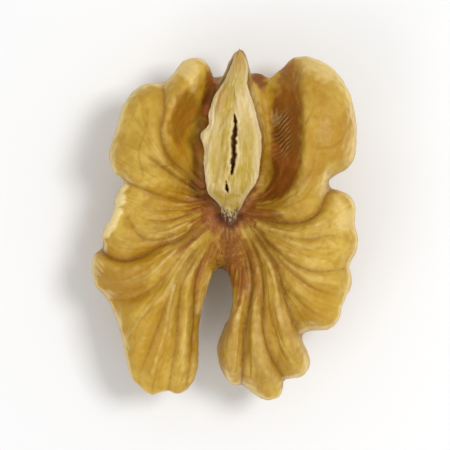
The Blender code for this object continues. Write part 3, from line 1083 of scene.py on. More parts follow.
@dataclass
class Tuft:
    """Short torn fibres where the spindle ends at the hub, in millimetres.

    Attributes:
        count: How many fibres there are.
        seed: The seed of their places, lengths and bends.
        reach: The lowest and highest x that they start at.
        middle_x: The x of the middle ones, towards which the others lean.
        root_y: The y of the roots a millimetre from the middle, on either side.
        spread_y: How much lower than that the middle ones' roots lie.
        lengths: The least and the greatest length.
        sway: How far a tip strays to either side at most.
        droops: The least and the greatest drop of a tip under its root.
        radius: Half a fibre's thickness at its root.
        tip: The share of the thickness that is left at the tip.
    """

    count: int = 26
    seed: int = 8
    reach: tuple[float, float] = (-0.8, 1.2)
    middle_x: float = 0.2
    root_y: float = 1.6
    spread_y: float = 0.35
    lengths: tuple[float, float] = (0.7, 1.5)
    sway: float = 0.35
    droops: tuple[float, float] = (0.5, 1.1)
    radius: float = 0.055
    tip: float = 0.2

    def build(self, middle: TornMiddle) -> bpy.types.Object:
        """Builds the fibres as one piece.

        Args:
            middle: The spindle that they grow from.

        Returns:
            The piece.
        """
        rng = np.random.default_rng(self.seed)
        fibres = [self.fibre(rng, middle) for _ in range(self.count)]
        bpy.ops.object.select_all(action="DESELECT")
        for fibre in fibres:
            fibre.select_set(True)
        bpy.context.view_layer.objects.active = fibres[0]
        bpy.ops.object.join()
        piece = bpy.context.object
        finish_piece(piece, "torn_fibres", FibreFinish().material())
        return piece

    def fibre(self, rng: np.random.Generator, middle: TornMiddle) -> bpy.types.Object:
        """One tapered fibre, which droops from the spindle into the hub."""
        bpy.ops.mesh.primitive_cone_add(vertices=6, radius1=1.0, radius2=self.tip, depth=1.0)
        bpy.ops.object.mode_set(mode="EDIT")
        bpy.ops.mesh.select_all(action="SELECT")
        bpy.ops.mesh.subdivide(number_cuts=2)
        bpy.ops.object.mode_set(mode="OBJECT")
        cone = bpy.context.object
        unit = points_of(cone)
        share = unit[:, 2] + 0.5
        root_x = rng.uniform(*self.reach)
        aside = root_x - self.middle_x
        root_y = self.root_y - self.spread_y * (1.0 - abs(aside)) + rng.uniform(-0.2, 0.3)
        length = rng.uniform(*self.lengths)
        sway = rng.uniform(-self.sway, self.sway)
        x = root_x + unit[:, 0] * self.radius + share * (sway - 0.3 * aside)
        y = root_y - share * length + unit[:, 1] * self.radius * 0.4
        root_z = middle.surface(np.array([root_x]), np.array([root_y]), np.zeros(1))[0] - 0.15
        z = root_z - share**1.6 * rng.uniform(*self.droops) + unit[:, 1] * self.radius
        move_points(cone, DRAWING.to_frame(np.column_stack([x, y, z])))
        return cone


@dataclass
class Ground:
    """What the flesh is like at each of its points, before its folds are cut.

    Attributes:
        points: Rows of x, y and z in drawn millimetres.
        facing: Rows of unit vectors, averaged with the neighbours'.
        face: 1 on the inner face and its rims, and 0 on the back.
        inside: How far each point lies inside the torn middle's edges.
        nearest: For each fold, the distance to it and the share of it passed.
        fan: A number that is the same all along a fold and grows from fold to fold.
        spread: How many millimetres lie between two folds.
        radius: The distance from the hub.
    """

    points: np.ndarray
    facing: np.ndarray
    face: np.ndarray
    inside: np.ndarray
    nearest: list[tuple[np.ndarray, np.ndarray]]
    fan: np.ndarray
    spread: np.ndarray
    radius: np.ndarray

    def grain(self, across: float, along: float) -> np.ndarray:
        """Rows for a noise whose patches are drawn out along the folds.

        Args:
            across: How many patches lie between two folds.
            along: How many patches lie along a millimetre of a fold.

        Returns:
            The rows.
        """
        return np.column_stack([self.fan * across, self.radius * along, self.points[:, 2] * 0.1])


@dataclass
class Flesh:
    """The folded flesh and its skin, made finer from the kernel's own solid.

    Lengths are in drawn millimetres.

    Attributes:
        grid: The size of the flesh's facets, halved on the inner face.
        folds: The creases that are traced.
        veins: The thin veins between them, from the hub's side outwards.
        crests: The raised lines along the tops of the folds.
        stains: The patches of the skin's tones, with painted shade and painted highlights among them.
        hub: The middle of the fan.
        face_above: The height above which the inner face lies.
        sunk_to: The height that the flesh has under the spindle.
        pleats: The fine pleats, from broad to narrow.
        gills: The ridges on the right hollow's wall.
        swell_share: The height of the swell beside a fold, as a share of its depth.
        swell_width: How far that swell reaches.
        upright: How much the creases are cut straight down, and not along the skin's normal.
        skin_rough: The unevenness of the skin.
        furrow_rough: The noise whose 0 the back's furrows follow.
        furrow_width: How far from that 0 they reach.
        furrow_depth: How deep they are.
        line_sets: How many fine lines lie between two folds, each with its seed.
        line_width: How thick they are.
        line_breaks: Where they are broken.
        ragged_along: How the stains' edges run out along the folds.
        ragged_all: How ragged the edges are all over.
        small_rounds: The size of the small hollows and ridges, in rounds of averaging.
        broad_rounds: The size of the broad ones.
        rim_facing: How far the pale line on the rims, partly painted highlight, faces up, from 0 to 1.
        rim_band: How far it reaches from there.
    """

    grid: float = 0.284
    folds: tuple[Fold, ...] = (
        # the edges of the gap, which have no crease and only lead the pleats
        Fold(((0.8, -4.4), (0.6, -6.2), (0.2, -8.2), (-0.9, -11.0), (-1.1, -16.4)), 0.0, stain=0.0),
        Fold(((-1.5, -4.6), (-2.2, -8.0), (-2.6, -11.0), (-3.2, -13.6), (-4.2, -16.4)), 0.0, stain=0.0),
        # between the upper and the lower right lobe
        Fold(((1.4, 1.2), (2.95, 0.8), (4.3, 0.4), (5.85, 0.2), (7.4, 0.4), (8.75, 1.2), (9.7, 2.8),
              (10.3, 4.0)), 0.5, 0.32, 0.7, 0.8),
        # the folds of the lower right lobe
        Fold(((3.0, -0.2), (5.6, -1.2), (8.0, -1.5), (10.1, -1.1), (12.4, -1.7)), 0.15, 0.3, 0.3, 0.2),
        Fold(((2.2, 0.4), (3.5, -1.3), (4.8, -2.6), (6.4, -3.8), (8.5, -4.6), (11.4, -4.4), (12.7, -3.9)),
             0.3, 0.3, 0.38, 0.2),
        Fold(((2.2, 0.2), (3.8, -1.9), (4.9, -3.3), (6.4, -4.9), (8.2, -6.2), (9.8, -6.8), (11.8, -7.2)),
             0.25, 0.3, 0.34, 0.2),
        Fold(((6.0, -6.6), (7.6, -8.2), (9.4, -9.2), (10.9, -9.9)), 0.15, 0.3, 0.25, 0.2),
        # between its fingers
        Fold(((1.8, 0.2), (3.6, -2.4), (4.7, -4.2), (5.4, -6.5), (6.2, -8.7), (7.1, -10.6), (7.9, -11.5)),
             0.45, 0.28, 0.7, 0.8),
        Fold(((1.5, 0.0), (2.7, -2.6), (3.25, -4.4), (3.4, -6.4), (3.4, -8.2), (3.7, -10.6), (4.4, -13.0),
              (5.5, -15.2), (6.4, -17.4)), 0.45, 0.28, 0.7, 0.7),
        Fold(((1.0, -1.2), (2.0, -3.6), (2.3, -5.8), (2.0, -8.4), (1.7, -10.4), (1.6, -12.8), (1.2, -18.4)),
             0.45, 0.3, 0.75, 0.7),
        # the long folds of the lower left lobe
        Fold(((-1.9, 0.6), (-3.1, -0.5), (-5.0, -1.6), (-6.5, -2.1), (-8.4, -3.1), (-10.2, -3.5),
              (-11.8, -3.1), (-12.9, -2.0)), 0.55, 0.34, 0.8, 0.9),
        Fold(((-4.1, -0.6), (-6.0, -1.4), (-7.7, -1.6), (-8.9, -0.9), (-9.8, 0.6)), 0.3, 0.32, 0.45, 0.4),
        Fold(((-2.0, -0.2), (-2.9, -1.1), (-4.2, -2.3), (-5.2, -3.8), (-6.3, -5.3), (-7.6, -6.4),
              (-9.4, -7.3), (-11.2, -7.5), (-12.6, -7.2)), 0.35, 0.5, 0.25, 0.5),
        Fold(((-2.2, -1.6), (-3.6, -3.2), (-4.8, -5.0), (-5.8, -7.2), (-6.6, -9.6), (-7.5, -12.0),
              (-8.5, -14.6), (-8.9, -16.2)), 0.22, 0.3, 0.35, 0.3),
        Fold(((-1.7, -1.6), (-3.2, -3.6), (-4.3, -5.6), (-4.7, -8.0), (-4.9, -10.6), (-5.3, -13.2),
              (-5.8, -16.4)), 0.35, 0.28, 0.45, 0.4),
        Fold(((-1.5, -2.0), (-2.6, -4.2), (-3.1, -6.2), (-3.2, -8.2), (-3.3, -10.6), (-3.6, -13.4),
              (-4.0, -15.8)), 0.35, 0.26, 0.55, 0.5),
        # across the upper left lobe
        Fold(((-2.3, 2.4), (-4.0, 2.3), (-6.0, 2.6), (-8.0, 3.2), (-10.2, 4.3)), 0.4, 0.32, 0.35, 1.0),
        Fold(((-2.6, 3.2), (-4.3, 4.2), (-5.8, 5.2), (-7.4, 6.3), (-8.8, 7.6)), 0.25, 0.26, 0.5, 0.2),
        Fold(((-2.6, 3.8), (-4.1, 5.2), (-5.3, 6.3), (-6.1, 7.8), (-6.4, 9.6), (-6.2, 11.6), (-6.4, 14.4)),
             0.35, 0.3, 0.55, 0.5),
        Fold(((-2.4, 1.5), (-4.6, 0.7), (-6.5, 0.3), (-8.5, 0.7)), 0.2, 0.26, 0.35, 0.2),
        # the foot of the upper right lobe
        Fold(((2.3, 2.0), (3.8, 2.3), (5.2, 3.2), (6.3, 4.6), (7.0, 6.6), (7.1, 9.6), (7.0, 12.6),
              (6.6, 15.2)), 0.25, 0.45, 0.25, 0.4),
    )
    veins: tuple[tuple[Point, ...], ...] = (
        ((-2.8, 2.9), (-4.6, 3.1), (-6.2, 3.4), (-7.6, 4.2)),
        ((-2.7, 4.4), (-3.6, 5.6), (-4.2, 7.0), (-4.4, 8.4)),
        ((-2.9, 2.0), (-4.8, 1.7), (-6.6, 1.5)),
        ((-5.2, 5.9), (-6.6, 5.6), (-8.2, 6.0)),
        ((3.0, 1.4), (4.6, 1.6), (6.2, 1.8), (7.6, 2.6)),
        ((6.9, 3.6), (8.2, 5.4), (8.6, 7.4), (9.4, 9.2)),
        ((8.6, 7.4), (10.2, 7.6), (11.4, 8.6)),
        ((7.6, 9.8), (8.4, 11.6), (8.4, 13.6)),
        ((3.2, -0.6), (5.2, -2.4), (6.8, -3.0), (8.8, -3.2)),
        ((2.6, -1.2), (4.4, -4.0), (5.6, -5.6), (7.6, -7.6)),
        ((1.8, -1.6), (2.9, -4.6), (3.0, -7.2), (2.9, -10.2), (2.9, -13.4)),
        ((5.0, -6.4), (5.3, -8.6), (6.1, -11.2), (6.7, -13.4)),
        ((0.9, -5.6), (0.9, -8.4), (0.3, -11.4), (0.5, -14.4)),
        ((-3.2, -1.4), (-5.6, -3.0), (-7.6, -4.8), (-10.0, -5.6)),
        ((-2.9, -2.4), (-4.6, -5.2), (-5.4, -7.6), (-6.0, -11.0), (-6.6, -14.6)),
        ((-2.4, -3.2), (-3.7, -6.0), (-4.0, -9.4), (-4.3, -13.6)),
        ((-7.2, -8.0), (-8.8, -10.0), (-9.2, -12.6)),
        ((-5.2, -1.0), (-7.2, -0.9), (-8.4, 0.6)),
        ((-8.2, 4.8), (-8.6, 7.2), (-7.8, 9.8), (-8.0, 12.2)),
        ((-8.6, 7.2), (-10.2, 8.0)),
    )
    crests: tuple[Crest, ...] = (
        Crest(((3.0, -5.6), (2.6, -8.2), (2.4, -10.6), (2.9, -12.9), (3.9, -14.8), (4.9, -16.6))),
        Crest(((1.4, -7.4), (0.4, -10.2), (0.1, -13.2), (0.4, -15.4)), 0.16),
        Crest(((4.3, -6.4), (4.7, -9.0), (5.6, -11.6), (6.8, -13.6)), 0.14, 0.6),
        Crest(((-5.6, -4.2), (-5.4, -6.4), (-5.6, -8.8), (-6.0, -11.4)), 0.22, 0.5),
        Crest(((-4.0, -6.6), (-4.1, -9.4), (-4.3, -12.4), (-4.6, -14.8)), 0.18),
        Crest(((-2.4, -5.6), (-2.9, -8.4), (-2.9, -11.6), (-3.7, -14.8)), 0.18),
        Crest(((-10.0, 3.4), (-10.7, 1.2), (-11.6, -0.6)), 0.12, 0.4),
        Crest(((7.5, 14.8), (7.6, 11.0), (7.6, 7.6), (7.4, 5.2)), 0.14, 0.5),
    )
    stains: tuple[Stain, ...] = (
        # the brown hub and its rays, with painted shadow darkening its middle under the spindle's tip
        Stain(Tone.BROWN, ((-2.3, 3.0), (-1.7, 1.2), (0.1, 0.0), (1.8, 1.2), (2.9, 2.8)), 1.7),
        Stain(Tone.BROWN, ((0.2, -0.6), (0.1, -4.8)), 1.9, 0.95),
        Stain(Tone.BROWN, ((-1.2, -2.2), (-2.6, -4.4), (-3.3, -7.6)), 0.5, 0.7, fades=0.6),
        Stain(Tone.BROWN, ((0.9, -3.4), (1.3, -6.0), (1.0, -8.8)), 0.8, 0.9, fades=0.7),
        Stain(Tone.BROWN, ((1.6, -1.6), (2.5, -4.2), (2.8, -7.4)), 0.5, 0.7, fades=0.7),
        Stain(Tone.BROWN, ((2.2, 1.7), (4.2, 0.9), (6.0, 0.5)), 0.7, 0.8, fades=0.6),
        Stain(Tone.BROWN, ((-1.8, -0.2), (-3.6, -1.4), (-5.2, -3.2)), 0.5, 0.7, fades=0.8),
        Stain(Tone.BROWN, ((-2.2, 2.4), (-4.2, 2.4), (-5.6, 2.6)), 0.6, 0.6, fades=0.8),
        Stain(Tone.DARK, ((-0.8, 0.8), (0.2, 0.1), (1.1, 0.8)), 0.7, 0.9),
        # pale strokes on the hub
        Stain(Tone.PALE, ((-0.4, -0.4), (-0.9, -1.4), (-1.1, -2.6)), 0.12, 0.2, fades=0.8),
        Stain(Tone.PALE, ((0.0, -0.4), (-0.1, -2.8)), 0.12, 0.22, fades=0.8),
        Stain(Tone.PALE, ((0.3, -0.4), (0.6, -2.4)), 0.12, 0.2, fades=0.8),
        Stain(Tone.PALE, ((0.8, -0.2), (1.4, -1.6)), 0.12, 0.2, fades=0.8),
        # the right hollow's brown wall and golden floor
        Stain(Tone.BROWN, ((4.1, 3.0), (5.6, 4.4), (6.2, 6.2), (6.4, 9.0), (6.4, 12.0), (6.1, 14.6)),
              0.55, 0.95, 0.5, 0.25),
        Stain(Tone.BROWN, ((3.2, 2.8), (4.8, 4.0), (5.7, 6.2), (6.0, 9.0), (5.9, 12.0), (5.4, 14.8)),
              1.25, 0.9, 0.3, 0.2),
        Stain(Tone.BROWN, ((6.2, 11.0), (6.0, 13.4), (5.7, 15.4)), 1.3, 0.8),
        Stain(Tone.BROWN, ((3.3, 15.6), (3.0, 14.4)), 1.0),
        # painted shade in the recess between the spindle's tip and the upper right lobe
        Stain(Tone.DARK, ((3.3, 15.4), (3.1, 14.8)), 0.7, 0.45),
        Stain(Tone.GOLD, ((3.9, 12.6), (3.9, 6.0)), 1.1, 0.5),
        # short pale strokes at the upper end of its gills
        Stain(Tone.PALE, ((4.6, 10.2), (4.4, 11.3)), 0.14, 0.3, fades=0.6),
        Stain(Tone.PALE, ((4.8, 9.9), (4.9, 11.5)), 0.14, 0.34, fades=0.6),
        Stain(Tone.PALE, ((5.0, 10.0), (5.5, 11.3)), 0.12, 0.3, fades=0.6),
        # the left hollow, with the flank of the knob beside it
        Stain(Tone.BROWN, ((-1.2, 15.6), (-1.6, 13.0), (-1.8, 11.0)), 0.5, 0.95),
        Stain(Tone.BROWN, ((-4.3, 12.0), (-4.5, 10.8), (-5.2, 9.0), (-4.6, 7.0)), 0.9, 0.55, fades=0.5),
        Stain(Tone.BROWN, ((-2.4, 9.8), (-3.0, 7.0), (-2.6, 4.6)), 0.5, 0.6),
        Stain(Tone.GOLD, ((-4.0, 13.0), (-4.6, 11.6), (-5.2, 7.6)), 1.5, 0.7),
        Stain(Tone.GOLD, ((-3.4, 9.4), (-3.6, 6.2)), 1.2, 0.5),
        # golden patches of the lobes
        Stain(Tone.GOLD, ((-4.4, 4.0), (-4.8, 0.6)), 1.6, 0.9),
        # painted shade along the big left fold
        Stain(Tone.GOLD, ((-12.4, -2.6), (-10.2, -3.7), (-8.0, -3.1), (-6.4, -1.8)), 0.9, 0.9),
        # painted shade in the trough below the big left fold
        Stain(Tone.GOLD, ((-11.4, -7.4), (-8.2, -7.0)), 1.2, 0.9),
        Stain(Tone.GOLD, ((-6.6, -6.6), (-7.4, -12.0)), 1.9, 0.6),
        # painted shade in the trough below the big left fold
        Stain(Tone.GOLD, ((-11.6, -5.0), (-9.0, -5.6)), 1.4, 0.4),
        Stain(Tone.GOLD, ((3.8, 3.0), (4.8, 2.4)), 0.9, 0.9),
        Stain(Tone.GOLD, ((9.4, -6.6), (10.4, -8.4)), 1.8, 0.45),
        Stain(Tone.GOLD, ((11.2, 8.6), (11.0, 6.6), (10.2, 5.6)), 1.6, 0.7),
        Stain(Tone.GOLD, ((8.2, 14.0), (8.4, 9.0), (8.2, 5.4)), 1.1, 0.35),
        Stain(Tone.GOLD, ((2.4, -2.4), (3.2, -6.0)), 1.2, 0.5),
        # darker patches of the lobes
        Stain(Tone.DEEP, ((9.4, 13.0), (10.2, 7.4), (8.6, 4.4), (7.2, 2.4)), 2.4, 0.3),
        Stain(Tone.DEEP, ((6.8, -13.4), (6.0, -10.4), (5.2, -8.0)), 1.3, 0.4),
        Stain(Tone.DEEP, ((0.6, -14.4), (0.6, -9.4)), 1.2, 0.4),
        Stain(Tone.DEEP, ((3.6, -15.0), (3.0, -12.0), (2.6, -9.0)), 1.0, 0.35),
        # painted shade in the trough below the big left fold
        Stain(Tone.DEEP, ((-12.0, -5.6), (-8.8, -5.6)), 1.5, 0.45),
        # pale patches of the lobes, and scratches at the left rim
        Stain(Tone.PALE, ((-10.2, 3.6), (-10.8, 1.4), (-11.9, -1.0)), 0.5, 0.9, 0.3),
        # painted highlights on the knob's top and the upper ends of the right lobes
        Stain(Tone.PALE, ((-4.2, 16.2), (-3.6, 14.8), (-3.4, 13.4)), 0.8, 0.45, fades=0.8),
        Stain(Tone.PALE, ((8.0, 15.8), (9.8, 14.6)), 1.2, 0.4),
        Stain(Tone.PALE, ((10.6, 2.4), (11.6, 1.0)), 1.1, 0.4),
        Stain(Tone.PALE, ((-1.9, -5.0), (-2.3, -7.0), (-2.6, -8.6)), 0.35, 0.35),
        Stain(Tone.PALE, ((-13.2, -3.5), (-12.0, -4.9)), 0.14, 0.4, 0.3, 0.5),
        Stain(Tone.PALE, ((-13.2, -4.2), (-12.3, -5.3)), 0.12, 0.35, 0.3, 0.5),
        Stain(Tone.PALE, ((-12.7, -3.5), (-11.9, -4.4)), 0.11, 0.3, 0.3, 0.5),
    )
    hub: Point = (0.1, 0.6)
    face_above: float = 5.0
    sunk_to: float = 7.4
    pleats: tuple[Pleats, ...] = (Pleats(1.6, 0.1, 0.42, 5), Pleats(3.6, 0.2, 0.3, 6))
    gills: Gills = Gills()
    swell_share: float = 0.22
    swell_width: float = 0.5
    upright: float = 0.45
    skin_rough: Rough = Rough(((0.09, 1.9, 7), (0.06, 0.7, 8)))
    furrow_rough: Rough = Rough(((1.0, 2.6, 9), (0.3, 1.1, 10)))
    furrow_width: float = 0.09
    furrow_depth: float = 0.3
    line_sets: tuple[tuple[float, int], ...] = ((1.7, 25), (3.1, 26))
    line_width: float = 0.05
    line_breaks: Noise = Noise(1.6, 27)
    ragged_along: Noise = Noise(1.0, 41)
    ragged_all: Noise = Noise(0.6, 42)
    small_rounds: int = 4
    broad_rounds: int = 36
    rim_facing: float = 0.36
    rim_band: float = 0.18

    def build(self, middle: TornMiddle) -> bpy.types.Object:
        """Builds the flesh, which stands for the kernel's node.

        Args:
            middle: The spindle, under which the flesh gives way.

        Returns:
            The piece.
        """
        piece = self.copy_of_node()
        apply_modifier(piece, "REMESH", mode="VOXEL", voxel_size=self.grid)
        apply_modifier(piece, "SMOOTH", factor=0.5, iterations=4)
        self.refine(piece, middle)
        apply_modifier(piece, "SMOOTH", factor=0.5, iterations=2)
        self.sink_under(piece, middle)
        ground = self.read(piece, middle)
        self.crease(piece, ground)
        self.stain(piece, ground)
        move_points(piece, DRAWING.to_frame(points_of(piece)))
        finish_piece(piece, "kernel_flesh", SkinFinish().material())
        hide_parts(NODE)
        return piece

    def copy_of_node(self) -> bpy.types.Object:
        """A merged copy of the kernel's own solid, in drawn millimetres."""
        piece = bpy.data.objects.new("flesh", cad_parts[NODE].data.copy())
        bpy.context.scene.collection.objects.link(piece)
        select_only(piece)
        bpy.ops.object.mode_set(mode="EDIT")
        bpy.ops.mesh.select_all(action="SELECT")
        bpy.ops.mesh.remove_doubles(threshold=0.001 * MM)
        bpy.ops.object.mode_set(mode="OBJECT")
        move_points(piece, DRAWING.from_frame(points_of(piece)))
        return piece

    def refine(self, piece: bpy.types.Object, middle: TornMiddle) -> None:
        """Halves the grid on the inner face, where the fine folds are."""
        mesh = piece.data
        normals = np.empty(len(mesh.polygons) * 3)
        centres = np.empty(len(mesh.polygons) * 3)
        mesh.polygons.foreach_get("normal", normals)
        mesh.polygons.foreach_get("center", centres)
        x, y, z = centres.reshape(-1, 3).T
        chosen = (normals.reshape(-1, 3)[:, 2] > 0.05) & (z > self.face_above)
        chosen &= middle.inside(x, y) < 0.3
        bpy.context.tool_settings.mesh_select_mode = (False, False, True)
        bpy.ops.object.mode_set(mode="EDIT")
        bpy.ops.mesh.select_all(action="DESELECT")
        bpy.ops.object.mode_set(mode="OBJECT")
        mesh.polygons.foreach_set("select", chosen)
        bpy.ops.object.mode_set(mode="EDIT")
        bpy.ops.mesh.subdivide(number_cuts=1)
        bpy.ops.object.mode_set(mode="OBJECT")

    def sink_under(self, piece: bpy.types.Object, middle: TornMiddle) -> None:
        """Lowers the flesh under the spindle, which takes its place there."""
        points = points_of(piece)
        facing = normals_of(piece)[:, 2]
        inside = smooth_step(0.05, 0.6, middle.inside(points[:, 0], points[:, 1]))
        inside *= (points[:, 2] > self.face_above + 0.5) & (facing > -0.5)
        points[:, 2] -= inside * np.clip(points[:, 2] - self.sunk_to, 0.0, None)
        move_points(piece, points)

    def bearing(self, fold: Fold) -> float:
        """The direction of a fold's middle from the hub, from -pi to pi round from the gap."""
        x, y = fold.points[len(fold.points) // 2]
        return math.atan2(x - self.hub[0], y - self.hub[1])

    def in_order(self) -> list[int]:
        """The folds' numbers in the order that they leave the hub, round from the gap."""
        return sorted(range(len(self.folds)), key=lambda number: self.bearing(self.folds[number]))

    def read(self, piece: bpy.types.Object, middle: TornMiddle) -> Ground:
        """Reads what the flesh is like at each point.

        Args:
            piece: The smooth flesh.
            middle: The spindle.

        Returns:
            What the creases and the stains go by.
        """
        points = points_of(piece)
        x, y, z = points.T
        facing = normals_of(piece, 4)
        nearest = [Path(fold.points).nearest(x, y) for fold in self.folds]
        total, weights = np.zeros_like(x), np.zeros_like(x)
        for rank, number in enumerate(self.in_order()):
            weight = 1.0 / (nearest[number][0] + 0.25) ** 3
            total += weight * rank
            weights += weight
        fan = total / weights
        return Ground(
            points=points,
            facing=facing,
            face=smooth_step(-0.35, 0.25, facing[:, 2]) * smooth_step(3.5, 6.0, z),
            inside=middle.inside(x, y),
            nearest=nearest,
            fan=fan,
            spread=spread_of(piece, fan),
            radius=np.hypot(x - self.hub[0], y - self.hub[1]),
        )

    def crease(self, piece: bpy.types.Object, ground: Ground) -> None:
        """Sinks the folds' creases and the fine wrinkles into the skin.

        Args:
            piece: The flesh, in drawn millimetres.
            ground: What the flesh is like at each point.
        """
        outside = 1.0 - smooth_step(-0.1, 0.3, ground.inside)
        depth = self.folds_depth(ground) + self.pleats_depth(ground) - self.crests_height(ground)
        depth *= ground.face * outside
        depth += self.gills.depth * self.gills.at(ground.points) * ground.face
        depth += outside * self.skin_rough.at(ground.points)
        depth += (1.0 - ground.face) * self.furrow_depth * self.furrows(ground)
        # the flat spots that it rests on stay flat
        depth *= 1.0 - smooth_step(1.2, 0.3, ground.points[:, 2])
        way = (1.0 - self.upright) * ground.facing
        way += np.array((0.0, 0.0, self.upright)) * ground.face[:, None]
        way /= np.linalg.norm(way, axis=1)[:, None]
        move_points(piece, ground.points - way * depth[:, None])

    def folds_depth(self, ground: Ground) -> np.ndarray:
        """Depth of the traced creases, with a slight swell on both sides of each."""
        depth = np.zeros(len(ground.points))
        for fold, (away, share) in zip(self.folds, ground.nearest):
            groove = np.exp(-((away / fold.width) ** 1.3))
            swell = self.swell_share * hill(away - 3.0 * fold.width, self.swell_width)
            depth += fold.depth * fold.taper(share) * (groove - swell)
        return depth

    def pleats_depth(self, ground: Ground) -> np.ndarray:
        """Depth of the fine pleats that run along the folds, less than 0 on their tops."""
        # away from the hub they flatten, and less so on the lower lobes
        lower = smooth_step(1.0, -5.0, ground.points[:, 1])
        left = 1.0 - (0.85 - 0.35 * lower) * smooth_step(4.0, 10.0, ground.radius)
        left *= smooth_step(0.15, 0.65, ground.facing[:, 2])
        depth = np.zeros(len(ground.points))
        for pleats in self.pleats:
            # narrow ones are lower, and those too narrow for the grid are left out
            wave = ground.spread / pleats.across
            height = pleats.height * np.clip(wave / 0.9, 0.0, 1.0) * smooth_step(0.2, 0.45, wave)
            grain = ground.grain(pleats.across, pleats.along)
            depth -= height * left * Noise(1.0, pleats.seed).pleats(grain)
        return depth

    def crests_height(self, ground: Ground) -> np.ndarray:
        """Height of the raised lines along the tops of the folds."""
        x, y, _ = ground.points.T
        height = np.zeros_like(x)
        for crest in self.crests:
            away, share = Path(crest.points).nearest(x, y)
            ends = smooth_step(0.0, 0.2, share) * smooth_step(1.0, 0.9, share)
            height = np.maximum(height, crest.height * ends * hill(away, crest.width))
        return height

    def furrows(self, ground: Ground) -> np.ndarray:
        """1 in the fine winding furrows of the back, and 0 away from them."""
        return np.exp(-np.abs(self.furrow_rough.at(ground.points)) / self.furrow_width)

    def fine_lines(self, ground: Ground) -> np.ndarray:
        """1 on the thin lines that fan out from the hub, and 0 away from them."""
        lines = np.zeros(len(ground.points))
        for across, seed in self.line_sets:
            wave = ground.spread / across
            pleats = Noise(1.0, seed).pleats(ground.grain(across, 0.14))
            near = np.exp(-pleats * wave / self.line_width)
            lines = np.maximum(lines, smooth_step(0.15, 0.35, wave) * near)
        broken = smooth_step(-0.5, 0.3, self.line_breaks.at(ground.points))
        return lines * broken * smooth_step(9.5, 3.0, ground.radius)

    def stain(self, piece: bpy.types.Object, ground: Ground) -> None:
        """Keeps the skin's tones, with its painted shade and highlights, and its fan, for the finish to
        read.

        Args:
            piece: The creased flesh, in drawn millimetres.
            ground: What the flesh was like before its creases.
        """
        tones = Tones(len(ground.points))
        self.stain_patches(tones, ground)
        self.lay_veins_and_crease_shade(tones, ground)
        self.paint_shade_and_highlights(tones, ground, piece)
        tones.keep_on(piece)
        layer = piece.data.attributes.new(FAN, "FLOAT_VECTOR", "POINT")
        layer.data.foreach_set("vector", ground.grain(6.0, 0.45).astype(np.float32).ravel())

    def stain_patches(self, tones: Tones, ground: Ground) -> None:
        """Lays on the patches, whose edges run out along the folds."""
        x, y, _ = ground.points.T
        ragged = 1.2 * self.ragged_along.at(ground.grain(3.0, 0.16))
        ragged *= smooth_step(0.5, 4.5, ground.radius)
        ragged += 0.4 * self.ragged_all.at(ground.points)
        for stain in self.stains:
            tones.add(stain.tone, stain.at(x, y, ragged) * ground.face)

    def lay_veins_and_crease_shade(self, tones: Tones, ground: Ground) -> None:
        """Lays on the painted shade along the folds' creases, the veins, the fine lines and the painted
        shade in the furrows.
        """
        x, y, _ = ground.points.T
        for fold, (away, share) in zip(self.folds, ground.nearest):
            # painted shade: a dark line and a wider deep band along each crease
            line = fold.stain * fold.taper(share) * ground.face
            tones.add(Tone.DARK, 0.85 * line * np.exp(-away / (0.45 * fold.width)))
            tones.add(Tone.DEEP, 0.75 * line * np.exp(-away / (1.8 * fold.width)))
        for vein in self.veins:
            away, share = Path(vein).nearest(x, y)
            strength, width = 0.4 - 0.25 * share, 0.13 - 0.05 * share
            tones.add(Tone.VEIN_AND_FURROW_SHADE, strength * hill(away, width) * ground.face)
        tones.add(Tone.VEIN_AND_FURROW_SHADE, 0.5 * self.fine_lines(ground) * ground.face)
        # painted shade: the vein colour darkens the back's furrows
        tones.add(Tone.VEIN_AND_FURROW_SHADE, 0.4 * self.furrows(ground) * (1.0 - ground.face))

    def paint_shade_and_highlights(self, tones: Tones, ground: Ground, piece: bpy.types.Object) -> None:
        """Paints shade into the hollows, and highlights onto the ridges, gills and rims outside the brown,
        the rims partly their own pale colour.
        """
        light = 1.0 - tones.shares[Tone.BROWN]
        small = hollows_of(piece, self.small_rounds)
        broad = hollows_of(piece, self.broad_rounds)
        # painted shade in the small and broad hollows
        tones.add(Tone.DEEP, 0.6 * smooth_step(0.004, 0.05, small))
        tones.add(Tone.DEEP, 0.42 * smooth_step(0.02, 0.3, broad))
        # painted highlights on the tops of the small and broad ridges
        tones.add(Tone.PALE, 0.36 * smooth_step(0.01, 0.07, -small) * light)
        tones.add(Tone.PALE, 0.3 * smooth_step(0.04, 0.35, -broad) * light)
        # the rims' pale line: partly the thin skin's own pale colour, partly painted highlight
        tones.add(Tone.PALE, 0.62 * self.rims(piece, ground) * light)
        gills = self.gills.at(ground.points)
        # painted shade in the grooves between the gills, painted highlights on their ridges
        tones.add(Tone.DARK, 0.4 * np.clip(gills, 0.0, None) * ground.face)
        tones.add(Tone.PALE, 0.4 * np.clip(-gills - 0.1, 0.0, None) * ground.face)
        # painted shadow on the flesh along the edges of the torn middle, which stands above it
        tones.add(Tone.DARK, 0.7 * hill(np.abs(ground.inside), 0.25) * ground.face)

    def rims(self, piece: bpy.types.Object, ground: Ground) -> np.ndarray:
        """1 along the thin outer rims of the lobes, where the pale line lies, partly the thin skin's own
        colour and partly painted highlight, and 0 away from them.
        """
        facing = normals_of(piece)
        outward = facing[:, 0] * (ground.points[:, 0] - self.hub[0])
        outward += facing[:, 1] * (ground.points[:, 1] - self.hub[1])
        outward /= np.maximum(ground.radius, 1.0)
        turned = hill(facing[:, 2] - self.rim_facing, self.rim_band)
        return turned * smooth_step(0.2, 0.6, outward) * smooth_step(5.5, 7.5, ground.points[:, 2])


@dataclass(frozen=True)
class Lamp:
    """One soft square light: its place and side in metres, and its power in watts."""

    name: str
    place: tuple[float, float, float]
    side: float
    power: float


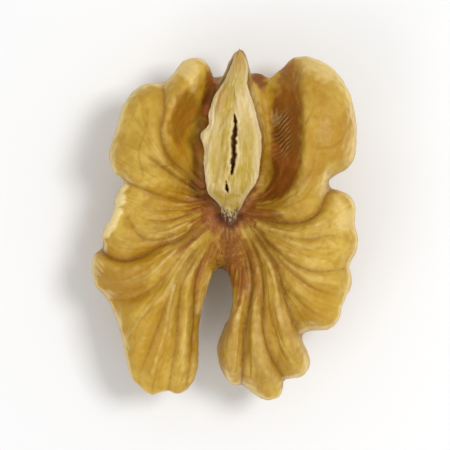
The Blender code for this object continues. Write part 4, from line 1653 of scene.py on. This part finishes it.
@dataclass
class Studio:
    """A plain pale floor, soft light, and a camera straight above the inner face."""

    floor_size: float = 1.6
    lamps: tuple[Lamp, ...] = (
        Lamp("key", (0.18, 0.06, 0.38), 0.12, 0.9),
        Lamp("fill", (-0.20, -0.22, 0.26), 0.22, 0.3),
    )
    sky: float = 0.62
    lens: float = 200.0
    sensor: float = 36.0
    frame_height: float = 0.0445
    focus_height: float = 0.009

    def build(self) -> None:
        """Builds the floor, the lights and the camera."""
        bpy.ops.object.select_all(action="DESELECT")
        bpy.ops.mesh.primitive_plane_add(size=self.floor_size)
        floor = bpy.context.object
        floor.name = "floor"
        floor.data.materials.append(FloorFinish().material())
        for lamp in self.lamps:
            self.light(lamp)
        world = bpy.data.worlds.new("studio")
        world.use_nodes = True
        background = world.node_tree.nodes["Background"]
        background.inputs["Color"].default_value = (1.0, 1.0, 1.0, 1.0)
        background.inputs["Strength"].default_value = self.sky
        bpy.context.scene.world = world
        bpy.context.scene.view_settings.view_transform = "Standard"
        self.camera()

    def light(self, lamp: Lamp) -> None:
        """Adds one lamp, turned towards the kernel."""
        bpy.ops.object.light_add(type="AREA", location=lamp.place)
        light = bpy.context.object
        light.name = lamp.name
        light.data.size = lamp.side
        light.data.energy = lamp.power
        x, y, z = lamp.place
        tilt = math.atan2(math.hypot(x, y), z)
        light.rotation_euler = (tilt, 0.0, math.atan2(-y, -x) - math.pi / 2.0)

    def camera(self) -> None:
        """Puts the camera straight above the kernel, with the tip at the top."""
        distance = self.frame_height * self.lens / self.sensor
        bpy.ops.object.camera_add(location=(0.0, 0.0, self.focus_height + distance))
        camera = bpy.context.object
        camera.rotation_euler = (0.0, 0.0, 0.0)
        camera.data.lens = self.lens
        camera.data.sensor_width = self.sensor
        camera.data.clip_start = 0.001
        bpy.context.scene.camera = camera


def main() -> None:
    """Builds the studio and the kernel's pieces in order."""
    logging.basicConfig(level=logging.INFO, format="%(name)s %(message)s")
    middle = TornMiddle()
    Studio().build()
    Flesh().build(middle)
    middle.build()
    Tuft().build(middle)


if __name__ == "__main__":
    main()
